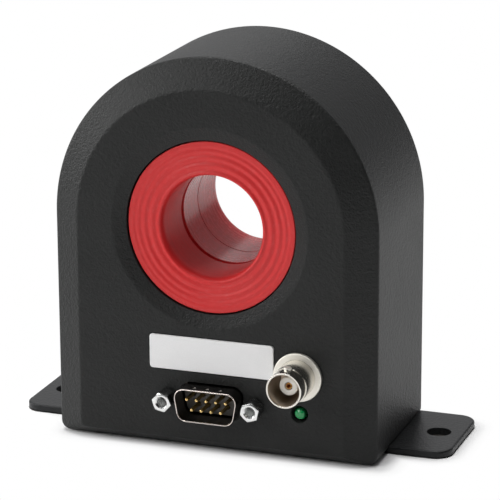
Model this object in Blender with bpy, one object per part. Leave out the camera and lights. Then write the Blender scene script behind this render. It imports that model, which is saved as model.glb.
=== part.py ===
"""Fluxgate current transducer with a round bore, a nine-pin plug and a bayonet jack on its front.

An arched metal housing stands in a notched foot plate. The conductor under test runs through the red
bore lining, and round that lining sit the two excitation cores with their windings, the feedback core,
the split screening can and the compensation winding. Two boards fill the space under the coils.

World frame in metres: X to the right as the front is seen, Y from front to back, Z up. The origin is
the centre of the foot plate's underside. Every sub-part is modelled in a local frame that has the same
directions, with Y = 0 on the housing's front face, and hangs on an empty that carries it there.
"""

import math

import bmesh
import bpy
from mathutils import Vector

# Fits between pieces
GAP = 0.0003
MERGE = 0.0000005

# Housing and rear cover
SIDE_HEIGHT = 0.017
CHAMFER_RUN = 0.008
CHAMFER_DEPTH = 0.0045
BOTTOM_BEVEL = 0.0032
BOTTOM_CORNER = 0.0025
REAR_EDGE = 0.0004
FRONT_WALL = 0.0035
SIDE_WALL = 0.0035
FLOOR_WALL = 0.003
COVER_LIP = 0.0025
COVER_THICKNESS = 0.003
COVER_BOSS_RADIUS = 0.0035
COVER_BOSS_OVERLAP = 0.0005
UNDERSIDE_LIFT = 0.0003
ARCH_STEPS = 36

# Foot plate and its screws
FOOT_REACH = 0.0165
PLATE_WIDTH = 0.031
PLATE_THICKNESS = 0.002
PLATE_CORNER = 0.005
FOOT_HOLE_INSET = 0.007
FOOT_HOLE_RADIUS = 0.0033
BASE_SCREW_SIDE = 0.0155
BASE_SCREW_RADIUS = 0.002
BASE_SCREW_LENGTH = 0.0085
BASE_SCREW_INSET = 0.0095
BASE_BOSS_WALL = 0.0016

# Cover screws
COVER_SCREW_RADIUS = 0.0015
COVER_SCREW_LENGTH = 0.010
DRIVE_DEPTH = 0.0009
HEAD_EDGE = 0.0001

# Bore lining
BORE_RADIUS = 0.014
LINING_WALL = 0.0025
FLANGE_WIDTH = 0.0095
FLANGE_THICKNESS = 0.0025
FLANGE_RECESS = 0.0019
CONE_RUN = 0.0037
CONE_DEPTH = 0.0014
SEAT_WALL = 0.003
SEAT_BOSS_WALL = 0.0035
LIP_RADIUS = 0.0007
GROOVE_DEPTH = 0.00045
GROOVE_PITCH = 0.0021
GROOVE_COUNT = 3
FRONT_SEAM = 0.0181
REAR_SEAM = 0.0292
SEAM_WIDTH = 0.0006
BORE_STEPS = 36

# Coils, from the bore lining outwards
FORMER_WALL = 0.0012
SPACER_THICKNESS = 0.0009
COIL_CLEARANCE = 0.0023
WINDING_LAYER = 0.001
WINDING_RIDGE = 0.0003
CAN_WALL = 0.0006
EXCITATION_LAYER = 0.0008
CORE_DEPTH = 0.0083
CORE_LENGTH = 0.0042
FEEDBACK_LENGTH = 0.0103
WINDING_OPENING = 14.0
WINDING_RIDGES = 24
COIL_STEPS = 24

# Nine-pin plug
DSUB_X = 0.0005
DSUB_Z = 0.0148
DSUB_INNER_WIDTH = 0.0178
DSUB_INNER_HEIGHT = 0.00836
DSUB_SLOPE = 10.0
DSUB_CORNER = 0.0024
DSUB_SHEET = 0.0004
DSUB_REACH = 0.0055
DSUB_FLANGE_SIDE = 0.0029
DSUB_FLANGE_HEIGHT = 0.0125
DSUB_FLANGE_SHEET = 0.0008
DSUB_FLANGE_CORNER = 0.0015
DSUB_FLOOR = 0.0009
DSUB_BLOCK_WIDTH = 0.0178
DSUB_BLOCK_HEIGHT = 0.010
DSUB_BLOCK_DEPTH = 0.005
PIN_PITCH = 0.00277
PIN_ROW_OFFSET = 0.00142
PIN_RADIUS = 0.0005
PIN_REACH = 0.0047
WIDE_ROW_PINS = 5
JACKSCREW_SPACING = 0.02499
JACKSCREW_FLATS = 0.00476
JACKSCREW_LENGTH = 0.005
JACKSCREW_HOLE = 0.0013
JACKSCREW_COUNTERSINK = 0.0017
JACKSCREW_STUD = 0.0014
JACKSCREW_TURNS = (-11.0, 18.0)
NUT_FLATS = 0.0055
NUT_THICKNESS = 0.002
CONNECTOR_WALL = 0.0015
POCKET_MARGIN = 0.0007

# Bayonet jack
BNC_SIDE_GAP = 0.0091
BNC_RISE = 0.0098
BNC_BARREL_RADIUS = 0.00485
BNC_SOCKET_RADIUS = 0.0041
BNC_REACH = 0.0122
BNC_STEP_REACH = 0.0083
BNC_STEP_HEIGHT = 0.0002
BNC_FLANGE_RADIUS = 0.0067
BNC_FLANGE_PROUD = 0.001
BNC_SOCKET_FLOOR = 0.0025
BNC_THREAD_RADIUS = 0.0046
BNC_TAIL = 0.0085
BNC_INSULATOR_RADIUS = 0.00255
BNC_INSULATOR_REACH = 0.0082
BNC_CONTACT_RADIUS = 0.0008
BNC_CONTACT_HOLE = 0.00045
BNC_CONTACT_DEPTH = 0.004
BNC_LUG_RADIUS = 0.001
BNC_LUG_HEIGHT = 0.00065
BNC_LUG_REACH = 0.0088
BNC_NUT_FLATS = 0.011
BNC_NUT_THICKNESS = 0.0023
BNC_WASHER_RADIUS = 0.0062
BNC_WASHER_THICKNESS = 0.0006

# Indicator lamp
LED_SIDE = 0.0003
LED_GAP = 0.00386
LED_RADIUS = 0.0016
LED_PROUD = 0.0001
LED_BODY = 0.0048
LED_RIM = 0.00035
LED_HOLE_RADIUS = 0.0024
LED_LEAD = 0.0005
LED_LEAD_PITCH = 0.00127

# Badge plate
BADGE_X = 0.0005
BADGE_Z = 0.0275
BADGE_JACK_GAP = 0.0002
BADGE_HEIGHT = 0.0095
BADGE_CORNER = 0.0009
BADGE_THICKNESS = 0.0006
BADGE_RECESS = 0.0006

# Boards under the coils
BOARD_THICKNESS = 0.0016
BOARD_REACH = 0.0115
BOARD_MARGIN = 0.0007
POWER_BOARD_CLEARANCE = 0.0005
POST_RADIUS = 0.0023
POST_INSET = 0.0035
STANDOFF_FLATS = 0.0046
STANDOFF_STUD = 0.001
STANDOFF_STUD_LENGTH = 0.0055
BOARD_SCREW_HEAD = 0.0021
BOARD_SCREW_HEIGHT = 0.0016
BOARD_SCREW_LENGTH = 0.0055
CAPACITOR_RADIUS = 0.004
CAPACITOR_CLEARANCE = 0.003
HEADER_WIDTH = 0.016
HEADER_HEIGHT = 0.005
TRANSISTOR_WIDTH = 0.010
TRANSISTOR_HEIGHT = 0.0152
TRANSISTOR_BODY = 0.0092
TRANSISTOR_THICKNESS = 0.0044
TRANSISTOR_TAB = 0.0013
TRANSISTOR_HOLE = 0.0018
TRANSISTOR_HOLE_INSET = 0.0029
TRANSISTOR_SPACING = 0.032

# The body wraps the coil stack: its width and depth are sums of what lies inside
FLANGE_RADIUS = BORE_RADIUS + FLANGE_WIDTH
LINING_RADIUS = BORE_RADIUS + LINING_WALL
SEAT_DEPTH = FLANGE_RECESS + FLANGE_THICKNESS + GAP
COIL_START = SEAT_DEPTH + SEAT_WALL + GAP
COIL_BORE = LINING_RADIUS + GAP + FORMER_WALL + GAP
EXCITATION_DEPTH = CORE_DEPTH + 2 * (EXCITATION_LAYER + GAP)
EXCITATION_LENGTH = CORE_LENGTH + 2 * (EXCITATION_LAYER + GAP)
CAN_INSET = WINDING_LAYER + GAP + CAN_WALL + GAP
COIL_RADIUS = COIL_BORE + EXCITATION_DEPTH + 2 * CAN_INSET
COIL_LENGTH = 2 * (EXCITATION_LENGTH + GAP + CAN_INSET + GAP + SPACER_THICKNESS) + FEEDBACK_LENGTH
COVER_BOSS_CENTRE = COIL_RADIUS + COIL_CLEARANCE + COVER_BOSS_RADIUS
CAVITY_HALF_WIDTH = COVER_BOSS_CENTRE + COVER_BOSS_RADIUS - COVER_BOSS_OVERLAP
ARCH_RADIUS = CAVITY_HALF_WIDTH + SIDE_WALL
BODY_WIDTH = 2 * ARCH_RADIUS
BODY_DEPTH = COIL_LENGTH + 2 * COIL_START
COIL_END = COIL_START + COIL_LENGTH

# Places that follow from the sizes above
AXIS_Z = ARCH_RADIUS + SIDE_HEIGHT
FRONT_Y = PLATE_WIDTH / 2 - BODY_DEPTH
PLATE_LENGTH = BODY_WIDTH + 2 * FOOT_REACH
FOOT_HOLE_SPACING = PLATE_LENGTH - 2 * FOOT_HOLE_INSET
BASE_SCREW_SPACING = BODY_WIDTH - 2 * BASE_SCREW_SIDE
BASE_BOSS_RADIUS = BASE_SCREW_RADIUS + GAP + BASE_BOSS_WALL
BASE_BOSS_FRONT = BODY_DEPTH - BASE_SCREW_INSET - BASE_BOSS_RADIUS
NOTCH_TOP = PLATE_THICKNESS + GAP
FLOOR_Z = NOTCH_TOP + FLOOR_WALL
COVER_SEAT = BODY_DEPTH - COVER_THICKNESS - GAP
DSUB_FLANGE_WIDTH = JACKSCREW_SPACING + 2 * DSUB_FLANGE_SIDE
DSUB_FLANGE_FRONT = CONNECTOR_WALL + GAP
DSUB_FLANGE_REAR = DSUB_FLANGE_FRONT + DSUB_FLANGE_SHEET
BNC_X = DSUB_X + DSUB_FLANGE_WIDTH / 2 + BNC_SIDE_GAP
BNC_Z = DSUB_Z + BNC_RISE
BADGE_WIDTH = 2 * (BNC_X - BNC_FLANGE_RADIUS - BADGE_JACK_GAP - BADGE_X)
LED_X = BNC_X + LED_SIDE
LED_Z = BNC_Z - BNC_FLANGE_RADIUS - LED_GAP
BOARD_HALF_WIDTH = COVER_BOSS_CENTRE - COVER_BOSS_RADIUS - BOARD_MARGIN
BOARD_BOTTOM = FLOOR_Z + BOARD_MARGIN
BOARD_TOP = AXIS_Z - COIL_RADIUS - BOARD_MARGIN
POWER_BOARD_REAR = BASE_BOSS_FRONT - POWER_BOARD_CLEARANCE - BOARD_SCREW_HEIGHT - GAP
REAR_BOARD = POWER_BOARD_REAR - BOARD_THICKNESS
STANDOFF_HOLE = STANDOFF_STUD + GAP

# Materials: colour, roughness and metallic value
FINISHES = {
    "black_coat": ((0.030, 0.032, 0.031), 0.55, 0.0),
    "black_steel": ((0.028, 0.029, 0.029), 0.50, 0.0),
    "red_plastic": ((0.58, 0.045, 0.055), 0.38, 0.0),
    "bright_badge": ((0.78, 0.78, 0.77), 0.28, 0.9),
    "tinned_steel": ((0.72, 0.69, 0.66), 0.30, 1.0),
    "zinc_steel": ((0.66, 0.66, 0.64), 0.32, 1.0),
    "nickel": ((0.74, 0.71, 0.66), 0.25, 1.0),
    "gold": ((0.83, 0.62, 0.27), 0.25, 1.0),
    "black_plastic": ((0.012, 0.012, 0.013), 0.45, 0.0),
    "white_plastic": ((0.82, 0.81, 0.77), 0.45, 0.0),
    "green_lens": ((0.01, 0.22, 0.06), 0.15, 0.0),
    "board": ((0.02, 0.16, 0.07), 0.50, 0.0),
    "natural_plastic": ((0.55, 0.53, 0.46), 0.55, 0.0),
    "copper_wire": ((0.60, 0.26, 0.12), 0.35, 0.9),
    "core_strip": ((0.32, 0.32, 0.34), 0.40, 0.9),
    "can_alloy": ((0.50, 0.50, 0.51), 0.35, 1.0),
    "foam": ((0.10, 0.10, 0.11), 0.90, 0.0),
    "dark_screw": ((0.045, 0.045, 0.047), 0.40, 0.8),
}


# Scene helpers


def clear_scene():
    """Remove whatever the scene holds."""
    for obj in list(bpy.data.objects):
        bpy.data.objects.remove(obj, do_unlink=True)


def material_for(name, finish):
    """A Principled material of its own for one sub-part."""
    colour, roughness, metallic = FINISHES[finish]
    material = bpy.data.materials.new(name)
    material.use_nodes = True
    shader = material.node_tree.nodes["Principled BSDF"]
    shader.inputs["Base Color"].default_value = (*colour, 1.0)
    shader.inputs["Roughness"].default_value = roughness
    shader.inputs["Metallic"].default_value = metallic
    return material


def anchor(name, x, z):
    """An empty on the housing's front face, from which a group of sub-parts hangs."""
    empty = bpy.data.objects.new(name, None)
    empty.location = (x, FRONT_Y, z)
    bpy.context.scene.collection.objects.link(empty)
    return empty


def finish_mesh(name, bm, parent, finish):
    """Close the bmesh into an object with smooth faces and crisp edges, under its parent."""
    bmesh.ops.remove_doubles(bm, verts=bm.verts, dist=MERGE)
    bmesh.ops.recalc_face_normals(bm, faces=bm.faces)
    mesh = bpy.data.meshes.new(name)
    bm.to_mesh(mesh)
    bm.free()
    mesh.shade_smooth()
    mesh.set_sharp_from_angle(angle=math.radians(32.0))
    obj = bpy.data.objects.new(name, mesh)
    bpy.context.scene.collection.objects.link(obj)
    obj.parent = parent
    if finish is not None:
        mesh.materials.append(material_for(name, finish))
    return obj


# Outlines


def arc(centre, radius, start, end, steps):
    """Points on an arc, both ends included, angles in degrees."""
    points = []
    for step in range(steps + 1):
        angle = math.radians(start + (end - start) * step / steps)
        points.append((centre[0] + radius * math.cos(angle), centre[1] + radius * math.sin(angle)))
    return points


def rounded(corners, radius, steps):
    """A convex outline, given anticlockwise, with every corner rounded."""
    points = []
    count = len(corners)
    for index in range(count):
        corner = Vector(corners[index])
        before = (Vector(corners[index - 1]) - corner).normalized()
        after = (Vector(corners[(index + 1) % count]) - corner).normalized()
        half = before.angle(after) / 2
        centre = corner + (before + after).normalized() * radius / math.sin(half)
        start = corner + before * radius / math.tan(half) - centre
        sweep = math.pi - 2 * half
        first = math.atan2(start.y, start.x)
        for step in range(steps + 1):
            angle = first + sweep * step / steps
            points.append((centre.x + radius * math.cos(angle), centre.y + radius * math.sin(angle)))
    return points


def rectangle(width, height, radius=0.0, steps=3, x=0.0, z=0.0):
    """A rectangle about a centre, with rounded corners where a radius is given."""
    w = width / 2
    h = height / 2
    corners = [(x - w, z - h), (x + w, z - h), (x + w, z + h), (x - w, z + h)]
    return rounded(corners, radius, steps) if radius else corners


def regular(sides, flats, turn=0.0):
    """A regular polygon by its width over flats, turned by an angle in degrees."""
    radius = flats / 2 / math.cos(math.pi / sides)
    return [
        (
            radius * math.cos(math.radians(turn) + 2 * math.pi * side / sides),
            radius * math.sin(math.radians(turn) + 2 * math.pi * side / sides),
        )
        for side in range(sides)
    ]


def arch(half_width, bottom, corner):
    """The body's outline about the bore axis: straight sides under a half circle, corners rounded."""
    low = bottom - AXIS_Z
    points = arc((half_width - corner, low + corner), corner, -90.0, 0.0, 3)
    points += arc((0.0, 0.0), half_width, 0.0, 180.0, ARCH_STEPS)
    points += arc((corner - half_width, low + corner), corner, 180.0, 270.0, 3)
    return points


def d_outline(grow):
    """The plug's D shape, wide side up, grown outwards by a margin."""
    top = DSUB_INNER_WIDTH / 2 + grow
    high = DSUB_INNER_HEIGHT / 2 + grow
    lean = 2 * high * math.tan(math.radians(DSUB_SLOPE))
    corners = [(lean - top, -high), (top - lean, -high), (top, high), (-top, high)]
    return rounded(corners, DSUB_CORNER + grow, 4)


# Solids


def lofted(name, sections, parent, finish=None):
    """A closed skin over outlines of equal count: sections are (outline in X and Z, y)."""
    bm = bmesh.new()
    rings = [[bm.verts.new((x, y, z)) for x, z in outline] for outline, y in sections]
    count = len(rings[0])
    for near, far in zip(rings, rings[1:]):
        for index in range(count):
            after = (index + 1) % count
            bm.faces.new((near[index], near[after], far[after], far[index]))
    bm.faces.new(rings[0])
    bm.faces.new(rings[-1])
    return finish_mesh(name, bm, parent, finish)


def prism(name, outline, start, end, parent, finish=None):
    """An outline in X and Z pushed from one Y to another."""
    return lofted(name, [(outline, start), (outline, end)], parent, finish)


def slab(name, outline, bottom, top, parent, finish=None):
    """An outline in X and Y pushed from one Z to another."""
    bm = bmesh.new()
    face = bm.faces.new([bm.verts.new((x, y, bottom)) for x, y in outline])
    pushed = bmesh.ops.extrude_face_region(bm, geom=[face])
    verts = [item for item in pushed["geom"] if isinstance(item, bmesh.types.BMVert)]
    bmesh.ops.translate(bm, verts=verts, vec=(0.0, 0.0, top - bottom))
    return finish_mesh(name, bm, parent, finish)


def turned(name, profile, steps, parent, finish=None, axis="Y"):
    """A closed profile of (radius, place along the axis) spun round that axis."""
    bm = bmesh.new()
    spun = {"Y": (0.0, 1.0, 0.0), "Z": (0.0, 0.0, 1.0)}[axis]
    ring = [bm.verts.new((r, d, 0.0) if axis == "Y" else (r, 0.0, d)) for r, d in profile]
    edges = []
    for first, second in zip(ring, ring[1:] + ring[:1]):
        if max(first.co.x, second.co.x) > MERGE:
            edges.append(bm.edges.new((first, second)))
    turn = 2 * math.pi
    centre = (0.0, 0.0, 0.0)
    bmesh.ops.spin(bm, geom=ring + edges, cent=centre, axis=spun, angle=turn, steps=steps, use_merge=True)
    return finish_mesh(name, bm, parent, finish)


def cylinder(name, radius, start, end, steps, parent, finish=None, axis="Y"):
    """A plain round bar."""
    profile = [(0.0, start), (radius, start), (radius, end), (0.0, end)]
    return turned(name, profile, steps, parent, finish, axis)


def moved(obj, x=0.0, y=0.0, z=0.0):
    """Shift an object inside its parent's frame."""
    obj.location = (x, y, z)
    return obj


# Booleans


def boolean(target, tool, operation):
    """Put a Boolean on the target, and hide the tool that it uses."""
    modifier = target.modifiers.new(tool.name, "BOOLEAN")
    modifier.operation = operation
    modifier.solver = "EXACT"
    modifier.object = tool
    tool.hide_render = True
    tool.display_type = "WIRE"


def cut(target, *tools):
    """Take each tool away from the target."""
    for tool in tools:
        boolean(target, tool, "DIFFERENCE")


def join(target, *tools):
    """Add each tool to the target."""
    for tool in tools:
        boolean(target, tool, "UNION")


# Screws


def countersunk_screw(name, radius, length, parent, finish):
    """A countersunk screw along Z, its head's flat top at Z = 0 and its shank below."""
    head = radius * 1.75
    drop = head - radius
    profile = [
        (0.0, 0.0),
        (head, 0.0),
        (head, -HEAD_EDGE),
        (radius, -HEAD_EDGE - drop),
        (radius, -length),
        (0.0, -length),
    ]
    screw = turned(name, profile, 12, parent, finish, axis="Z")
    socket = slab(name + "_drive", regular(6, radius * 1.3), -DRIVE_DEPTH, GAP, screw)
    cut(screw, socket)
    return screw


def countersunk_hole(name, radius, length, parent):
    """The hole for such a screw, with the fit's gap all round, its mouth at Z = 0."""
    mouth = radius * 1.75 + 2 * GAP
    bore = radius + GAP
    profile = [
        (0.0, GAP),
        (mouth, GAP),
        (mouth, 0.0),
        (bore, bore - mouth),
        (bore, -length - GAP),
        (0.0, -length - GAP),
    ]
    return turned(name, profile, 12, parent, axis="Z")


# Bore lining


def flange_profile():
    """The ringed face of a lining flange, from the bore outwards: (radius, depth behind the face)."""
    points = [(BORE_RADIUS, 2 * LIP_RADIUS), (BORE_RADIUS + 0.3 * LIP_RADIUS, 0.3 * LIP_RADIUS)]
    crest = BORE_RADIUS + LIP_RADIUS
    points.append((crest, 0.0))
    for groove in range(GROOVE_COUNT):
        start = crest + groove * GROOVE_PITCH
        points.append((start + 0.45 * GROOVE_PITCH, GROOVE_DEPTH))
        points.append((start + GROOVE_PITCH, 0.0))
    return points


def lining(name, tube_end, parent, finish, from_rear=False):
    """A flanged half of the bore lining, its flange seated in its recess and its tube ending at a seam."""
    face = [(r, FLANGE_RECESS + d) for r, d in flange_profile()]
    rim = 0.0003
    body = [
        (FLANGE_RADIUS - rim, FLANGE_RECESS),
        (FLANGE_RADIUS, FLANGE_RECESS + rim),
        (FLANGE_RADIUS, FLANGE_RECESS + FLANGE_THICKNESS),
        (LINING_RADIUS, FLANGE_RECESS + FLANGE_THICKNESS),
        (LINING_RADIUS, tube_end),
        (BORE_RADIUS, tube_end),
    ]
    profile = face + body
    if from_rear:
        profile = [(r, BODY_DEPTH - d) for r, d in profile]
    return turned(name, profile, BORE_STEPS, parent, finish)


def seat_boss(name, parent, from_rear=False):
    """The boss behind a wall, which the seat cutter opens into a ring for the lining's flange."""
    outline = arc((0.0, 0.0), FLANGE_RADIUS + SEAT_BOSS_WALL, 0.0, 360.0, BORE_STEPS)[1:]
    start = min(FRONT_WALL, COVER_THICKNESS) / 2
    end = SEAT_DEPTH + SEAT_WALL
    if from_rear:
        start = BODY_DEPTH - start
        end = BODY_DEPTH - end
    return prism(name, outline, start, end, parent)


def seat_cutter(name, parent, from_rear=False):
    """The coned recess, the flange's counterbore and the hole for the lining's tube."""
    bore = FLANGE_RADIUS + GAP
    over = 0.2 * CONE_DEPTH
    slope = CONE_RUN / CONE_DEPTH
    profile = [
        (0.0, -over),
        (bore + CONE_RUN + over * slope, -over),
        (bore, CONE_DEPTH),
        (bore, SEAT_DEPTH),
        (LINING_RADIUS + GAP, SEAT_DEPTH),
        (LINING_RADIUS + GAP, SEAT_DEPTH + SEAT_WALL + GAP),
        (0.0, SEAT_DEPTH + SEAT_WALL + GAP),
    ]
    if from_rear:
        profile = [(r, BODY_DEPTH - d) for r, d in profile]
    return turned(name, profile, BORE_STEPS, parent)


def make_bore_lining(bore):
    """The two flanged linings and the plain sleeve between them."""
    half = SEAM_WIDTH / 2
    lining("front_bushing", FRONT_SEAM - half, bore, "red_plastic")
    sleeve = [
        (BORE_RADIUS, FRONT_SEAM + half),
        (LINING_RADIUS, FRONT_SEAM + half),
        (LINING_RADIUS, REAR_SEAM - GAP / 2),
        (BORE_RADIUS, REAR_SEAM - GAP / 2),
    ]
    turned("bore_sleeve", sleeve, BORE_STEPS, bore, "red_plastic")
    lining("rear_bushing", BODY_DEPTH - REAR_SEAM - GAP / 2, bore, "red_plastic", from_rear=True)


# Housing, cover and foot plate


def cover_screw_places():
    """Where the cover's screws stand, about the bore axis: two on the arch and two in the lower corners."""
    diagonal = COVER_BOSS_CENTRE * math.cos(math.radians(45.0))
    low = FLOOR_Z + COVER_BOSS_RADIUS - COVER_BOSS_OVERLAP - AXIS_Z
    return {
        "upper_left": (-diagonal, diagonal),
        "upper_right": (diagonal, diagonal),
        "lower_left": (-COVER_BOSS_CENTRE, low),
        "lower_right": (COVER_BOSS_CENTRE, low),
    }


def post_places():
    """Where the board posts stand in the world's X and Z, clear of the plug and the jack."""
    side = BOARD_HALF_WIDTH - POST_INSET
    low = BOARD_BOTTOM + POST_INSET
    return {
        "lower_left": (-side, low),
        "upper_left": (-side, BOARD_TOP - POST_INSET),
        "lower_right": (side, low),
        "upper_middle": (
            DSUB_X + JACKSCREW_SPACING / 4,
            DSUB_Z + DSUB_FLANGE_HEIGHT / 2 + POCKET_MARGIN + POST_RADIUS,
        ),
    }


def base_screw_places():
    """Where the foot plate's screws stand in X and Y, Y from the housing's front face."""
    return {"left": -BASE_SCREW_SPACING / 2, "right": BASE_SCREW_SPACING / 2}


def make_housing(root, bore, dsub, bnc, led, badge):
    """The cast housing: arched shell, bevelled front, connector cut-outs, bosses and foot notch."""
    bevelled = arch(ARCH_RADIUS - CHAMFER_RUN, UNDERSIDE_LIFT + BOTTOM_BEVEL, BOTTOM_CORNER / 2)
    full = arch(ARCH_RADIUS, UNDERSIDE_LIFT, BOTTOM_CORNER)
    rear = arch(ARCH_RADIUS - REAR_EDGE, UNDERSIDE_LIFT + REAR_EDGE, BOTTOM_CORNER)
    sections = [(bevelled, 0.0), (full, CHAMFER_DEPTH), (full, BODY_DEPTH - REAR_EDGE), (rear, BODY_DEPTH)]
    housing = lofted("housing", sections, bore, "black_coat")

    narrow = arch(ARCH_RADIUS - CHAMFER_RUN - FRONT_WALL / 3, FLOOR_Z, BOTTOM_CORNER)
    wide = arch(CAVITY_HALF_WIDTH, FLOOR_Z, BOTTOM_CORNER)
    beyond = BODY_DEPTH + GAP
    shoulder = FRONT_WALL + CHAMFER_DEPTH
    cavity = lofted("cut_cavity", [(narrow, FRONT_WALL), (wide, shoulder), (wide, beyond)], bore)
    rebate_outline = arch(ARCH_RADIUS - COVER_LIP, FLOOR_Z - COVER_LIP / 2, BOTTOM_CORNER / 2)
    rebate = prism("cut_cover_rebate", rebate_outline, COVER_SEAT, beyond, bore)
    pocket_width = DSUB_FLANGE_WIDTH + 2 * POCKET_MARGIN
    pocket_outline = rectangle(pocket_width, DSUB_FLANGE_HEIGHT + 2 * POCKET_MARGIN)
    dsub_pocket = prism("cut_dsub_pocket", pocket_outline, CONNECTOR_WALL, FRONT_WALL + GAP, dsub)
    pocket_radius = BNC_NUT_FLATS / 1.7 + POCKET_MARGIN
    bnc_pocket = cylinder("cut_bnc_pocket", pocket_radius, CONNECTOR_WALL, FRONT_WALL + GAP, 24, bnc)
    cut(housing, cavity, rebate, dsub_pocket, bnc_pocket)

    join(housing, seat_boss("add_front_seat", bore))
    for place, (x, z) in cover_screw_places().items():
        boss = cylinder("add_boss_" + place, COVER_BOSS_RADIUS, FRONT_WALL - GAP, COVER_SEAT, 14, bore)
        join(housing, moved(boss, x=x, z=z))
    for place, (x, z) in post_places().items():
        post = cylinder("add_post_" + place, POST_RADIUS, FRONT_WALL / 2, BOARD_REACH - GAP, 12, root)
        join(housing, moved(post, x=x, z=z))
    boss_foot = FLOOR_Z - FLOOR_WALL / 2
    boss_top = BASE_SCREW_LENGTH + BASE_BOSS_WALL
    for place, x in base_screw_places().items():
        name = "add_base_boss_" + place
        boss = cylinder(name, BASE_BOSS_RADIUS, boss_foot, boss_top, 12, root, axis="Z")
        join(housing, moved(boss, x=x, y=BODY_DEPTH - BASE_SCREW_INSET))

    cut(housing, prism("cut_dsub_opening", d_outline(DSUB_SHEET + GAP), -GAP, FRONT_WALL, dsub))
    for side, x in (("left", -JACKSCREW_SPACING / 2), ("right", JACKSCREW_SPACING / 2)):
        hole = cylinder("cut_jackscrew_" + side, JACKSCREW_STUD + GAP, -GAP, FRONT_WALL, 12, dsub)
        cut(housing, moved(hole, x=x))
    cut(housing, cylinder("cut_bnc_opening", BNC_THREAD_RADIUS + GAP, -GAP, FRONT_WALL, 24, bnc))
    cut(housing, cylinder("cut_led_opening", LED_HOLE_RADIUS, -GAP, FRONT_WALL + GAP, 16, led))
    recess = rectangle(BADGE_WIDTH + 2 * GAP, BADGE_HEIGHT + 2 * GAP, BADGE_CORNER + GAP)
    cut(housing, prism("cut_badge_recess", recess, -GAP, BADGE_RECESS, badge))
    for place, (x, z) in cover_screw_places().items():
        start = BODY_DEPTH - COVER_SCREW_LENGTH - 2 * GAP
        hole = cylinder("cut_cover_thread_" + place, COVER_SCREW_RADIUS + GAP, start, beyond, 12, bore)
        cut(housing, moved(hole, x=x, z=z))
    for place, (x, z) in post_places().items():
        start = BOARD_REACH + BOARD_THICKNESS - STANDOFF_STUD_LENGTH - GAP
        hole = cylinder("cut_post_thread_" + place, STANDOFF_HOLE, start, BOARD_REACH, 10, root)
        cut(housing, moved(hole, x=x, z=z))
    for place, x in base_screw_places().items():
        name = "cut_base_thread_" + place
        hole = cylinder(name, BASE_SCREW_RADIUS + GAP, 0.0, BASE_SCREW_LENGTH + GAP, 12, root, axis="Z")
        cut(housing, moved(hole, x=x, y=BODY_DEPTH - BASE_SCREW_INSET))
    notch_start = BODY_DEPTH - PLATE_WIDTH - GAP
    notch_height = NOTCH_TOP + CHAMFER_DEPTH
    notch = rectangle(BODY_WIDTH + 2 * CHAMFER_RUN, notch_height, z=NOTCH_TOP - notch_height / 2)
    cut(housing, prism("cut_foot_notch", notch, notch_start, beyond, root))
    cut(housing, seat_cutter("cut_front_seat", bore))


def make_rear_cover(bore):
    """The inset cover with the rear lining's seat, and its four countersunk screws."""
    inset = COVER_LIP + GAP
    outline = arch(ARCH_RADIUS - inset, FLOOR_Z - COVER_LIP / 2 + GAP, BOTTOM_CORNER / 2)
    cover = prism("rear_cover", outline, BODY_DEPTH - COVER_THICKNESS, BODY_DEPTH, bore, "black_coat")
    join(cover, seat_boss("add_rear_seat", bore, from_rear=True))
    cut(cover, seat_cutter("cut_rear_seat", bore, from_rear=True))
    radius = COVER_SCREW_RADIUS
    for place, (x, z) in cover_screw_places().items():
        hole = countersunk_hole("cut_cover_screw_" + place, radius, COVER_SCREW_LENGTH, bore)
        screw = countersunk_screw("cover_screw_" + place, radius, COVER_SCREW_LENGTH, bore, "dark_screw")
        for piece in (hole, screw):
            piece.rotation_euler = (math.radians(-90.0), 0.0, 0.0)
            moved(piece, x=x, y=BODY_DEPTH, z=z)
        cut(cover, hole)


def make_base_plate(root):
    """The foot plate with its two fixing holes, and the two screws that hold the housing on it."""
    centre = BODY_DEPTH - PLATE_WIDTH / 2
    outline = rectangle(PLATE_LENGTH, PLATE_WIDTH, PLATE_CORNER, 5)
    plate = moved(slab("base_plate", outline, 0.0, PLATE_THICKNESS, root, "black_steel"), y=centre)
    for side, x in (("left", -FOOT_HOLE_SPACING / 2), ("right", FOOT_HOLE_SPACING / 2)):
        hole = cylinder("cut_foot_hole_" + side, FOOT_HOLE_RADIUS, -GAP, NOTCH_TOP, 24, root, axis="Z")
        cut(plate, moved(hole, x=x, y=centre))
    radius = BASE_SCREW_RADIUS
    for place, x in base_screw_places().items():
        hole = countersunk_hole("cut_base_screw_" + place, radius, BASE_SCREW_LENGTH, root)
        screw = countersunk_screw("base_screw_" + place, radius, BASE_SCREW_LENGTH, root, "dark_screw")
        for piece in (hole, screw):
            piece.rotation_euler = (math.radians(180.0), 0.0, 0.0)
            moved(piece, x=x, y=BODY_DEPTH - BASE_SCREW_INSET)
        cut(plate, hole)


# Coils


def ring(name, inner, outer, start, end, bore, finish):
    """A plain ring of rectangular section about the bore."""
    profile = [(inner, start), (outer, start), (outer, end), (inner, end)]
    return turned(name, profile, COIL_STEPS, bore, finish)


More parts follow.
